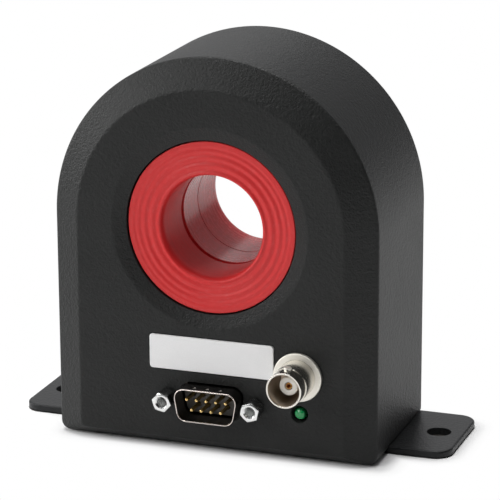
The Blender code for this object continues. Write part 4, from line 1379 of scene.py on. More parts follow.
@dataclass
class HousingShell:
    """The cast and coated housing."""

    body: Body
    chamfer_run: float = 0.008
    chamfer_depth: float = 0.0045
    bottom_bevel: float = 0.0032
    bottom_corner: float = 0.0025
    front_edge: float = 0.0018
    side_edge: float = 0.0011
    rear_edge: float = 0.0004
    front_wall: float = 0.0035
    side_wall: float = 0.0035
    cover_boss: float = 0.0035
    post_radius: float = 0.0023
    post_hole: float = 0.0013
    base_boss_wall: float = 0.0016
    connector_wall: float = 0.0015
    pocket_margin: float = 0.0007
    jack_pocket: float = 0.00717
    jack_hole: float = 0.0049
    badge_corner: float = 0.0012
    mouth: float = 0.00012
    lamp_mouth: float = 0.0024
    lamp_neck: float = 0.00205
    lamp_cone: float = 0.0011

    @property
    def cover_seat(self) -> float:
        """Where the rear cover rests, behind the front face."""
        return self.body.along(COVER_SCREWS[0])[1] - COVER_THICKNESS - GAP

    def _skin(self) -> bpy.types.Object:
        """The outer skin: a bevelled front edge, straight sides and a small rear edge.

        Returns:
            The solid skin.
        """
        body = self.body
        corners = [
            (self.chamfer_run + RUN_IN, 0.0, 0.0),
            (self.chamfer_run, 0.0, self.front_edge),
            (0.0, self.chamfer_depth, self.side_edge),
            (0.0, body.depth - self.rear_edge, 0.0),
            (self.rear_edge, body.depth, 0.0),
        ]
        rise = self.bottom_bevel / self.chamfer_run
        narrowing = self.bottom_corner / 2 / self.chamfer_run
        sections = []
        for inset, along in soften(corners, steps=5):
            bottom = body.bottom + (inset if along > body.depth / 2 else inset * rise)
            corner = self.bottom_corner - inset * narrowing
            sections.append((body.arch(body.half_width - inset, bottom, corner), along))
        return Bench(body.axis).loft("housing_shell", sections)

    def _hollow(self) -> list[bpy.types.Object]:
        """The cavity, the cover's rebate and the two connector pockets.

        Returns:
            Their cutters.
        """
        body = self.body
        bench = Bench(body.axis)
        beyond = body.depth + OVERSHOOT
        reach = body.half_width - self.chamfer_run - self.front_wall / 3
        narrow = body.arch(reach, body.floor, self.bottom_corner)
        wide = body.arch(body.half_width - self.side_wall, body.floor, self.bottom_corner)
        shoulder = self.front_wall + self.chamfer_depth
        cavity = bench.loft("cut_cavity", [(narrow, self.front_wall), (wide, shoulder), (wide, beyond)])
        edge = body.arch(body.half_width - COVER_LIP, body.floor - COVER_LIP / 2, self.bottom_corner / 2)
        rebate = bench.prism("cut_rebate", edge, self.cover_seat, beyond)
        shell = Box.of("dsub_shell").size
        margin = 2 * self.pocket_margin
        pocket = rectangle(shell.x + margin, shell.z + margin, self.pocket_margin, steps=3)
        ends = (self.connector_wall, self.front_wall + GAP)
        plug_pocket = body.bench("dsub_shell").prism("cut_plug_pocket", pocket, *ends)
        round_pocket = circle(self.jack_pocket, steps=48)
        jack_pocket = body.bench("bnc_body").prism("cut_jack_pocket", round_pocket, *ends)
        return [cavity, rebate, plug_pocket, jack_pocket]

    def _bosses(self) -> list[bpy.types.Object]:
        """The bosses and posts that the lining, screws and standoffs go into.

        Returns:
            Their blanks.
        """
        body = self.body
        tools = [BoreSeat(body, Side.FRONT).boss(self.front_wall / 2)]
        boss = circle(self.cover_boss, steps=32)
        for node in COVER_SCREWS:
            tools.append(body.bench(node).prism("add_boss", boss, self.front_wall - GAP, self.cover_seat))
        post = circle(self.post_radius, steps=28)
        post_end = body.along("front_board")[0] - GAP
        for node in STANDOFFS:
            tools.append(body.bench(node).prism("add_post", post, self.front_wall / 2, post_end))
        for node in BASE_SCREWS:
            box = Box.of(node)
            boss = circle(CountersunkScrew(node).bore + self.base_boss_wall, steps=28)
            ends = (body.floor - FLOOR_WALL / 2, box.high.z + self.base_boss_wall)
            tools.append(box.upright_bench().prism("add_base_boss", boss, *ends))
        return tools

    def _openings(self) -> list[bpy.types.Object]:
        """The openings of the front: plug, jackscrews, jack, lamp and badge.

        Returns:
            Their cutters.
        """
        body = self.body
        through = self.front_wall + OVERSHOOT
        tools = [Plug(body).opening(self.mouth, through)]
        for node in JACKSCREWS:
            stud = hole(STUD_HOLE, 0.0, through, self.mouth)
            tools.append(body.bench(node).turn("cut_stud", stud, steps=24))
        jack = hole(self.jack_hole, 0.0, through, self.mouth)
        tools.append(body.bench("bnc_body").turn("cut_jack", jack, steps=48))
        tools.append(body.bench("led").turn("cut_lamp", self._lamp_seat(through + OVERSHOOT), steps=40))
        badge = Box.of("badge_plate").size
        recess = rectangle(badge.x + 2 * GAP, badge.z + 2 * GAP, self.badge_corner)
        floor = body.along("badge_plate")[1] + GAP
        tools.append(body.bench("badge_plate").prism("cut_badge", recess, -OVERSHOOT, floor))
        return tools

    def _lamp_seat(self, end: float) -> Outline:
        """The profile of the lamp's hole, a steep cone that narrows to a close neck.

        Args:
            end: Where the hole ends.

        Returns:
            The profile as (radius, along).
        """
        return [
            (0.0, -OVERSHOOT),
            (self.lamp_mouth + self.mouth + OVERSHOOT, -OVERSHOOT),
            (self.lamp_mouth, self.mouth),
            (self.lamp_neck, self.lamp_cone),
            (self.lamp_neck, end),
            (0.0, end),
        ]

    def _threads(self) -> list[bpy.types.Object]:
        """The holes that screws and standoffs are turned into.

        Returns:
            Their cutters.
        """
        body = self.body
        tools = []
        for node in COVER_SCREWS:
            bore = circle(CountersunkScrew(node).bore, steps=24)
            start = body.along(node)[0] - 2 * GAP
            tools.append(body.bench(node).prism("cut_thread", bore, start, body.depth + GAP))
        post_bore = circle(self.post_hole, steps=20)
        board_front = body.along("front_board")[0]
        for node in STANDOFFS:
            start = body.along(node)[0] - GAP
            tools.append(body.bench(node).prism("cut_post_hole", post_bore, start, board_front))
        for node in BASE_SCREWS:
            box = Box.of(node)
            bore = circle(CountersunkScrew(node).bore, steps=24)
            tools.append(box.upright_bench().prism("cut_base_thread", bore, 0.0, box.high.z + GAP))
        return tools

    def _notch(self) -> bpy.types.Object:
        """The notch that the foot plate lies in.

        Returns:
            Its cutter.
        """
        body = self.body
        width = 2 * (body.half_width + self.chamfer_run)
        notch = rectangle(width, 2 * (Box.of("base_plate").high.z + GAP))
        ends = (body.along("base_plate")[0] - GAP, body.depth + OVERSHOOT)
        return Bench(Vector((0.0, body.front, 0.0))).prism("cut_notch", notch, *ends)

    def build(self) -> None:
        """Cast the housing, machine it and coat it."""
        seat = BoreSeat(self.body, Side.FRONT)
        piece = Workpiece(self._skin()).cut(*self._hollow()).add(*self._bosses())
        piece.cut(*self._openings(), *self._threads(), self._notch(), seat.cutter())
        dress(piece.done(), HOUSING_COAT, "housing")


@dataclass
class RearCover:
    """The inset cover that closes the back."""

    body: Body
    corner: float = 0.00125
    edge: float = 0.0002

    def build(self) -> None:
        """Cut the cover, seat the rear lining in it and countersink its screw holes."""
        body = self.body
        half = body.half_width - COVER_LIP - GAP
        low = body.floor - COVER_LIP / 2 + GAP
        full = body.arch(half, low, self.corner)
        eased = body.arch(half - self.edge, low + self.edge, self.corner)
        rear = body.depth
        sections = [(full, rear - COVER_THICKNESS), (full, rear - self.edge), (eased, rear)]
        blank = Bench(body.axis).loft("cover_plate", sections)
        seat = BoreSeat(body, Side.REAR)
        piece = Workpiece(blank).add(seat.boss(COVER_THICKNESS / 2)).cut(seat.cutter())
        piece.cut(*(CountersunkScrew(node).clearance() for node in COVER_SCREWS))
        dress(piece.done(), HOUSING_COAT, "rear_cover")


@dataclass
class FootPlate:
    """The steel foot plate with its two fixing holes."""

    corner: float = 0.005
    edge: float = 0.0005
    hole_radius: float = 0.0033
    hole_edge: float = 0.0001
    hole_inset: float = 0.007

    def build(self) -> None:
        """Cut the plate with eased edges, and drill it."""
        plate = Box.of("base_plate")
        bench = plate.upright_bench()
        width, depth, thickness = plate.size
        corners = [
            (RUN_IN, 0.0, 0.0),
            (0.0, 0.0, self.edge),
            (0.0, thickness, self.edge),
            (RUN_IN, thickness, 0.0),
        ]
        sections = []
        for inset, along in soften(corners):
            outline = rectangle(width - 2 * inset, depth - 2 * inset, self.corner - inset, steps=10)
            sections.append((outline, along))
        piece = Workpiece(bench.loft("foot_plate", sections))
        fixing = hole(self.hole_radius, 0.0, thickness, self.hole_edge, self.hole_edge)
        reach = width / 2 - self.hole_inset
        for across in (-reach, reach):
            drill = Bench(bench.at(across, 0.0, 0.0), Axis.UPRIGHT)
            piece.cut(drill.turn("cut_foot_hole", fixing, steps=64))
        piece.cut(*(CountersunkScrew(node).clearance() for node in BASE_SCREWS))
        dress(piece.done(), PLATE_COAT, "base_plate")


# Bore lining


@dataclass
class BoreLining:
    """The three turned red pieces that line the bore.

    Each wave of the flange's face is a turn of its line, as (distance from the bore, depth).
    """

    body: Body
    flange_recess: float = 0.0019
    flange_thickness: float = 0.0025
    lip_depth: float = 0.0024
    rim: float = 0.0003
    seam_edge: float = 0.00009
    seam_bevel: float = 0.0012
    wave_steps: int = 6
    steps: int = 160
    waves: tuple[Point, ...] = (
        (0.0009, 0.0),
        (0.0017, 0.00038),
        (0.0029, 0.00006),
        (0.0040, 0.00038),
        (0.0050, 0.00004),
        (0.0059, 0.00028),
        (0.0068, 0.00004),
        (0.0075, 0.00014),
        (0.0082, 0.0),
    )

    @property
    def bore_radius(self) -> float:
        """The radius of the bore."""
        return self.body.lining_radius - LINING_WALL

    def _face(self) -> Outline:
        """The ringed face of a flange, from the bore outwards.

        Returns:
            The face as (radius, depth behind it).
        """
        bore = self.bore_radius
        lip = self.waves[0][0]
        points = [(bore, self.lip_depth)]
        for cosine, sine in quarter(self.wave_steps)[1:]:
            points.append((bore + lip * (1 - cosine), self.lip_depth * (1 - sine)))
        for (near, high), (far, low) in zip(self.waves, self.waves[1:]):
            for step in range(1, self.wave_steps + 1):
                share = step / self.wave_steps
                ease = (1 - math.cos(math.pi * share)) / 2
                points.append((bore + near + (far - near) * share, high + (low - high) * ease))
        return points

    def _flanged(self, node: str, name: str, side: Side, finish: Finish, bevel: float) -> None:
        """One flanged lining, from its ringed face to its seam.

        Args:
            node: The solid that it stands for.
            name: The piece's name.
            side: The face of the body that it seats in.
            finish: Its finish.
            bevel: The bevel at its seam.
        """
        body = self.body
        start, end = body.along(node)
        seam = end if side is Side.FRONT else body.depth - start
        face = self.flange_recess
        back = face + self.flange_thickness
        ringed = [(radius, face + depth) for radius, depth in self._face()]
        corners = [
            (*ringed[-1], 0.0),
            (body.flange_radius, face, self.rim),
            (body.flange_radius, back, 0.0),
            (body.lining_radius, back, 0.0),
            (body.lining_radius, seam, 0.0),
            (self.bore_radius + bevel, seam, 0.0),
            (self.bore_radius, seam - bevel, self.seam_edge / 2),
            (self.bore_radius, face + self.lip_depth, 0.0),
        ]
        profile = ringed + soften(corners, steps=4)[1:-1]
        placed = [(radius, body.behind(side, along)) for radius, along in profile]
        dress(Bench(body.axis).turn(name, placed, self.steps), finish, node)

    def build(self) -> None:
        """Turn the front bushing, the sleeve and the rear bushing."""
        body = self.body
        self._flanged("front_bushing", "front_lining", Side.FRONT, FLANGE_RED, self.seam_bevel)
        start, end = body.along("bore_sleeve")
        corners = [
            (self.bore_radius, start, self.seam_edge),
            (body.lining_radius, start, 0.0),
            (body.lining_radius, end, 0.0),
            (self.bore_radius, end, self.seam_edge),
        ]
        turned = Bench(body.axis).turn("middle_lining", soften(corners, closed=True), self.steps)
        dress(turned, SLEEVE_RED, "bore_sleeve")
        self._flanged("rear_bushing", "rear_lining", Side.REAR, SLEEVE_RED, self.seam_edge)


# Nine-pin plug


@dataclass
class Plug:
    """The nine-pin plug: stamped shell, insulator, pins and jackscrews.

    The rolled rim's inner line goes by shares of half the sheet, and the dents by shares of their
    spacing, with the wall that each is pressed into.
    """

    body: Body
    inner_width: float = 0.0178
    inner_height: float = 0.00836
    slope: float = 10.0
    corner: float = 0.0024
    sheet: float = 0.0004
    flange_sheet: float = 0.0008
    flange_corner: float = 0.0015
    tip_flat: float = 0.00002
    inner_roll: tuple[Point, ...] = ((0.8, 0.0), (0.3, 0.45), (0.0, 1.0))
    dents: tuple[Point, ...] = ((-1.0, 1.0), (0.0, 1.0), (1.0, 1.0), (-0.5, -1.0), (0.5, -1.0))
    dent_spacing: float = 0.0037
    dent_radius: float = 0.0005
    dent_depth: float = 0.0002
    dent_back: float = 0.0036
    rim_depth: float = 0.0004
    block_corner: float = 0.0015
    face_edge: float = 0.0002
    pin_radius: float = 0.0005
    jackscrew_flats: float = 0.00476
    jackscrew_hole: float = 0.0013
    jackscrew_turns: Span = (-11.0, 18.0)
    hole_share: float = 0.8
    face_share: float = 0.2
    bevel_share: float = 0.97
    bevel_slope: float = 0.6
    bevel_lift: float = 0.0001
    corner_margin: float = 0.0002
    countersink: float = 0.0017
    pitch: float = 0.00045
    thread_depth: float = 0.00015

    @property
    def bench(self) -> Bench:
        """The bench on the front face at the plug's axis."""
        return self.body.bench("dsub_shell")

    def d_shape(self, grow: float) -> Outline:
        """The plug's D shape, wide side up.

        Args:
            grow: The margin that it is grown by.

        Returns:
            The outline.
        """
        top = self.inner_width / 2 + grow
        high = self.inner_height / 2 + grow
        lean = 2 * high * math.tan(math.radians(self.slope))
        corners = [(lean - top, -high), (top - lean, -high), (top, high), (-top, high)]
        return soften([(across, up, self.corner + grow) for across, up in corners], steps=8, closed=True)

    def opening(self, mouth: float, end: float) -> bpy.types.Object:
        """The shell's opening in the housing.

        Args:
            mouth: The chamfer where it opens.
            end: Where it ends.

        Returns:
            Its cutter.
        """
        snug = self.d_shape(self.sheet + GAP)
        flared = self.d_shape(self.sheet + GAP + mouth + OVERSHOOT)
        return self.bench.loft("cut_plug", [(flared, -OVERSHOOT), (snug, mouth), (snug, end)])

    def _shell(self) -> None:
        """The stamped shell with its flange, rolled rim and dents."""
        body = self.body
        size = Box.of("dsub_shell").size
        tip, rear = body.along("dsub_shell")
        flange_front = rear - self.flange_sheet
        flange = rectangle(size.x, size.z, self.flange_corner)
        roll = self.sheet / 2
        outer = [(self.d_shape(self.sheet), flange_front + GAP)]
        for cosine, sine in quarter(steps=4)[:-1]:
            outer.append((self.d_shape(self.sheet - roll * (1 - cosine)), tip + roll * (1 - sine)))
        outer.append((self.d_shape(roll + self.tip_flat), tip))
        inner = [(self.d_shape(roll + GAP), tip - GAP)]
        inner += [(self.d_shape(roll * grow), tip + roll * along) for grow, along in self.inner_roll]
        inner.append((self.d_shape(0.0), rear + OVERSHOOT))
        piece = Workpiece(self.bench.prism("plug_shell", flange, flange_front, rear))
        piece.add(self.bench.loft("add_tube", outer)).cut(self.bench.loft("cut_socket", inner))
        stud = hole(STUD_HOLE, flange_front, rear, 0.0)
        piece.cut(*(body.bench(node).turn("cut_flange_hole", stud, steps=24) for node in JACKSCREWS))
        piece.cut(*(self._dent(across, up) for across, up in self.dents))
        # Painted shade: the shell is painted darker behind its rolled rim.
        rim_end = self.rim_depth - size.y / 2
        dress(piece.done(), replace(TINNED, rim_end=rim_end), "dsub_shell")

    def _dent(self, across: float, up: float) -> bpy.types.Object:
        """A dent: a bowl that opens at the outside of the wall.

        Args:
            across: Where it lies, as a share of the dents' spacing.
            up: 1 for the upper wall, -1 for the lower one.

        Returns:
            Its cutter.
        """
        wall = up * (self.inner_height / 2 + self.sheet)
        depth = up * self.dent_depth
        mouth = wall + up * OVERSHOOT
        bowl = [(self.dent_radius * sine, wall - depth * cosine) for cosine, sine in quarter(steps=5)]
        bowl += [(self.dent_radius, mouth), (0.0, mouth)]
        datum = self.bench.at(across * self.dent_spacing, -self.dent_back, 0.0)
        return Bench(datum, Axis.UPRIGHT).turn("cut_dent", bowl, steps=20)

    def _insulator(self) -> None:
        """The moulded insulator, drilled for nine pins."""
        body = self.body
        size = Box.of("dsub_insulator").size
        start, end = body.along("dsub_insulator")
        block_start = body.along("dsub_shell")[1] + GAP
        block = rectangle(size.x, size.z, self.block_corner)
        snug = self.d_shape(-GAP)
        eased = self.d_shape(-GAP - self.face_edge)
        sections = [(eased, start), (snug, start + self.face_edge), (snug, block_start + GAP)]
        piece = Workpiece(self.bench.prism("plug_insulator", block, block_start, end))
        piece.add(self.bench.loft("add_face", sections))
        bore = hole(self.pin_radius + GAP / 2, start, end, self.face_edge)
        piece.cut(*(body.bench(node).turn("cut_pin", bore, steps=16) for node in PINS))
        dress(piece.done(), LIT_INSULATOR_PLASTIC, "dsub_insulator")

    def _pins(self) -> None:
        """Nine round pins with domed tips."""
        radius = self.pin_radius
        for node in PINS:
            tip, end = self.body.along(node)
            dome = [(radius * sine, tip + radius * (1 - cosine)) for cosine, sine in quarter(steps=6)]
            profile = [*dome, (radius, end - radius / 2), (radius / 2, end), (0.0, end)]
            turned = self.body.bench(node).turn(node.replace("dsub", "plug"), profile, steps=24)
            dress(turned, PIN_GOLD, node, even=False)

    def _jackscrew(self, node: str, turn: float) -> None:
        """A jackscrew: a bevelled hexagon with a countersunk, threaded hole, and its stud.

        Args:
            node: The solid that it stands for.
            turn: The hexagon's turn in degrees.
        """
        front, stud_end = self.body.along(node)
        shoulder = -GAP
        bench = self.body.bench(node)
        corner = self.jackscrew_flats / math.sqrt(3.0)
        flat = self.jackscrew_flats / 2 * self.bevel_share
        bevel_end = front + (corner - flat) * self.bevel_slope + self.bevel_lift
        barrel = [
            (0.0, front),
            (flat, front),
            (corner + self.corner_margin, bevel_end),
            (corner + self.corner_margin, shoulder + OVERSHOOT),
            (0.0, shoulder + OVERSHOOT),
        ]
        bore = self.jackscrew_hole
        sunk = front + self.countersink - bore
        depth = front + self.hole_share * (shoulder - front)
        threaded = [
            (0.0, front - GAP),
            (self.countersink + GAP, front - GAP),
            (bore, sunk),
            *thread(bore, bore + self.thread_depth, sunk + self.pitch, depth, self.pitch),
            (bore, depth),
            (0.0, depth),
        ]
        blank = bench.prism(node + "_turned", hexagon(self.jackscrew_flats, turn), front, shoulder)
        stud = bench.prism("add_stud", circle(STUD_HOLE - GAP, steps=24), shoulder - GAP, stud_end)
        piece = Workpiece(blank).trim(bench.turn("keep_barrel", barrel, steps=48)).add(stud)
        piece.cut(bench.turn("cut_thread", threaded, steps=32))
        # Painted shade: the hexagon is painted darker behind its front face and inside its tapped hole.
        face_end = self.face_share * (shoulder - front) - Box.of(node).size.y / 2
        dress(piece.done(), replace(BORED_ZINC, rim_end=face_end), node)

    def build(self) -> None:
        """Stamp, mould and turn the plug."""
        self._shell()
        self._insulator()
        self._pins()
        for node, turn in zip(JACKSCREWS, self.jackscrew_turns):
            self._jackscrew(node, turn)


# Bayonet jack


@dataclass
class Jack:
    """The bayonet jack: turned body with two lugs, insulator and contact."""

    body: Body
    barrel_radius: float = 0.00485
    socket_radius: float = 0.0041
    mouth_radius: float = 0.0044
    mouth_depth: float = 0.0006
    flange_radius: float = 0.0067
    flange_proud: float = 0.001
    socket_floor: float = 0.0025
    thread_radius: float = 0.0046
    thread_start: float = 0.0005
    thread_depth: float = 0.0003
    pitch: float = 0.0008
    step_reach: float = 0.0083
    step_height: float = 0.0002
    step_edge: float = 0.00008
    insulator_radius: float = 0.00255
    contact_radius: float = 0.0008
    contact_hole: float = 0.00052
    contact_depth: float = 0.004
    contact_edge: float = 0.00012
    slot_width: float = 0.0002
    slot_share: float = 0.8
    lug_radius: float = 0.001
    lug_height: float = 0.00065
    lug_reach: float = 0.0088
    lug_round: float = 0.3
    edge: float = 0.0003
    small_edge: float = 0.0002
    fine_edge: float = 0.0001
    tip_edge: float = 0.00013

    def _lug(self, up: float) -> bpy.types.Object:
        """A lug that stands on the barrel.

        Args:
            up: 1 for the upper lug, -1 for the lower one.

        Returns:
            Its blank.
        """
        root = (self.socket_radius + self.barrel_radius) / 2
        top = self.barrel_radius + self.lug_height
        eased = self.lug_round * self.small_edge
        profile = [
            (0.0, root),
            (self.lug_radius, root),
            (self.lug_radius, top - self.small_edge),
            (self.lug_radius - eased, top - eased),
            (self.lug_radius - self.small_edge, top),
            (0.0, top),
        ]
        placed = [(radius, up * along) for radius, along in profile]
        datum = self.body.bench("bnc_body").at(0.0, -self.lug_reach, 0.0)
        return Bench(datum, Axis.UPRIGHT).turn("add_lug", placed, steps=28)

    def _body(self) -> None:
        """The turned body."""
        tip, tail = self.body.along("bnc_body")
        flange = -GAP - self.flange_proud
        root = self.barrel_radius + self.step_height
        liner = self.insulator_radius + GAP
        groove = self.thread_radius - self.thread_depth
        threaded = thread(self.thread_radius, groove, self.thread_start, tail, self.pitch)
        corners = [
            (self.socket_radius, tip + self.mouth_depth, 0.0),
            (self.mouth_radius, tip, self.fine_edge),
            (self.barrel_radius, tip, self.tip_edge),
            (self.barrel_radius, -self.step_reach, 0.0),
            (root, -self.step_reach, self.step_edge),
            (root, flange, 0.0),
            (self.flange_radius, flange, self.edge),
            (self.flange_radius, -GAP, self.fine_edge),
            (self.thread_radius, -GAP, 0.0),
            *((radius, along, 0.0) for radius, along in threaded),
            (self.thread_radius, threaded[-1][1] + self.pitch / 2, 0.0),
            (self.thread_radius - self.small_edge, tail, 0.0),
            (liner, tail, 0.0),
            (liner, -self.socket_floor, 0.0),
            (self.socket_radius, -self.socket_floor, self.small_edge),
        ]
        profile = soften(corners, steps=4, closed=True)
        blank = self.body.bench("bnc_body").turn("jack_body", profile, steps=128)
        piece = Workpiece(blank).add(self._lug(1.0), self._lug(-1.0))
        dress(piece.done(), NICKEL, "bnc_body")

    def _insulator(self) -> None:
        """The white insulator round the contact."""
        front, tail = self.body.along("bnc_insulator")
        bore = self.contact_radius + GAP
        corners = [
            (bore, front, self.fine_edge),
            (self.insulator_radius, front, self.edge),
            (self.insulator_radius, tail, self.small_edge),
            (bore, tail, 0.0),
        ]
        bench = self.body.bench("bnc_insulator")
        turned = bench.turn("jack_insulator", soften(corners, steps=4, closed=True), steps=64)
        dress(turned, WHITE_PLASTIC, "bnc_insulator")

    def _contact(self) -> None:
        """The slotted socket contact."""
        front, tail = self.body.along("bnc_contact")
        corners = [
            (0.0, front + self.contact_depth, 0.0),
            (self.contact_hole, front + self.contact_depth, 0.0),
            (self.contact_hole, front, self.fine_edge),
            (self.contact_radius, front, self.contact_edge),
            (self.contact_radius, tail, self.small_edge),
            (0.0, tail, 0.0),
        ]
        bench = self.body.bench("bnc_contact")
        slot = rectangle(2 * self.contact_radius + OVERSHOOT, self.slot_width)
        slot_end = front + self.contact_depth * self.slot_share
        piece = Workpiece(bench.turn("jack_contact", soften(corners), steps=40))
        piece.cut(bench.prism("cut_slot", slot, front - GAP, slot_end))
        dress(piece.done(), CONTACT_GOLD, "bnc_contact")

    def build(self) -> None:
        """Turn the jack's pieces."""
        self._body()
        self._insulator()
        self._contact()


# Lamp and badge


@dataclass
class Lamp:
    """The indicator lamp: a cut dome over a plain body with two leads.

    The dome goes by shares of its radius, each with its depth behind the tip.
    """

    body: Body
    radius: float = 0.0016
    dome: tuple[Point, ...] = ((0.0, 0.0), (0.45, 0.00006), (0.8, 0.0003), (1.0, 0.0007))
    rim: float = 0.00035
    rim_start: float = 0.0016
    lead: float = 0.0005
    lead_reach: float = 0.00127
    body_length: float = 0.0048
    facets: int = 12
    facet_angle: float = 8.0

    def build(self) -> None:
        """Mould the lamp."""
        tip, rear = self.body.along("led")
        end = tip + self.body_length
        outer = self.radius + self.rim
        profile = [(self.radius * share, tip + depth) for share, depth in self.dome]
        profile += [(outer, tip + self.rim_start), (outer, end), (0.0, end)]
        bench = self.body.bench("led")
        piece = Workpiece(bench.turn("lamp_lens", profile, self.facets))
        for across in (-self.lead_reach, self.lead_reach):
            lead_bench = Bench(bench.at(across, 0.0, 0.0))
            piece.add(lead_bench.prism("add_lead", rectangle(self.lead, self.lead), end - GAP, rear))
        lens = dress(piece.done(), GREEN_LENS, "led", even=False)
        lens.data.set_sharp_from_angle(angle=math.radians(self.facet_angle))


@dataclass
class Badge:
    """The bare badge plate."""

    body: Body
    corner: float = 0.0009
    edge: float = 0.00015

    def build(self) -> None:
        """Cut the plate with an eased front edge."""
        front, back = self.body.along("badge_plate")
        size = Box.of("badge_plate").size
        eased = rectangle(size.x - 2 * self.edge, size.z - 2 * self.edge, self.corner - self.edge)
        full = rectangle(size.x, size.z, self.corner)
        sections = [(eased, front), (full, front + self.edge), (full, back)]
        plate = self.body.bench("badge_plate").loft("bare_badge", sections)
        dress(plate, BADGE_FOIL, "badge_plate")


# What stays inside


@dataclass
class InnerWorks:
    """The coils, boards and small fittings, whose solids are kept and given their finishes."""

    smooth_angle: float = 30.0
    merge_distance: float = 1e-6

    def _smoother(self) -> bpy.types.NodeTree:
        """A node group that shades round walls smooth and keeps corners crisp.

        Returns:
            The group.
        """
        group = bpy.data.node_groups.new("crisp_corners", "GeometryNodeTree")
        for way in ("INPUT", "OUTPUT"):
            group.interface.new_socket("Geometry", in_out=way, socket_type="NodeSocketGeometry")
        board = Board(group)
        solid = board.node("NodeGroupInput")
        merging = {"Geometry": solid, "Distance": self.merge_distance}
        merged = board.node("GeometryNodeMergeByDistance", values=merging)
        smooth = board.node("GeometryNodeSetShadeSmooth", values={"Geometry": merged})
        angle = board.node("GeometryNodeInputMeshEdgeAngle", out="Unsigned Angle")
        comparison = {"data_type": "FLOAT", "operation": "LESS_THAN"}
        soft = board.node("FunctionNodeCompare", comparison, {0: angle, 1: math.radians(self.smooth_angle)})
        values = {"Geometry": smooth, "Shade Smooth": soft}
        crisp = board.node("GeometryNodeSetShadeSmooth", {"domain": "EDGE"}, values)
        board.feed(group.nodes.new("NodeGroupOutput").inputs[0], crisp)
        return group

    def build(self) -> None:
        """Finish every solid that is kept."""
        group = self._smoother()
        for finish, nodes in KEPT_SOLIDS.items():
            for node in nodes:
                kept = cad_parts[node]
                modifier = kept.modifiers.new("crisp_corners", "NODES")
                modifier.node_group = group
                material = finish.material(node + "_finish", Box.of(node).centre)
                if kept.material_slots:
                    kept.material_slots[0].material = material
                else:
                    kept.data.materials.append(material)
                log.info("%s keeps its solid, finished as %s", node, finish.slot.value)


# Studio


@dataclass(frozen=True)
class SoftBox:
    """One soft box of the studio."""

    name: str
    place: Place
    width: float
    height: float
    power: float
    aim: Place = (0.0, 0.0, 0.055)

    def build(self) -> None:
        """Hang the box and aim it."""
        light = bpy.data.lights.new(self.name, "AREA")
        light.shape = "RECTANGLE"
        light.size = self.width
        light.size_y = self.height
        light.energy = self.power
        lamp = bpy.data.objects.new(self.name, light)
        lamp.location = self.place
        lamp.rotation_euler = (Vector(self.aim) - Vector(self.place)).to_track_quat("-Z", "Y").to_euler()
        lamp.visible_camera = False
        bpy.context.scene.collection.objects.link(lamp)


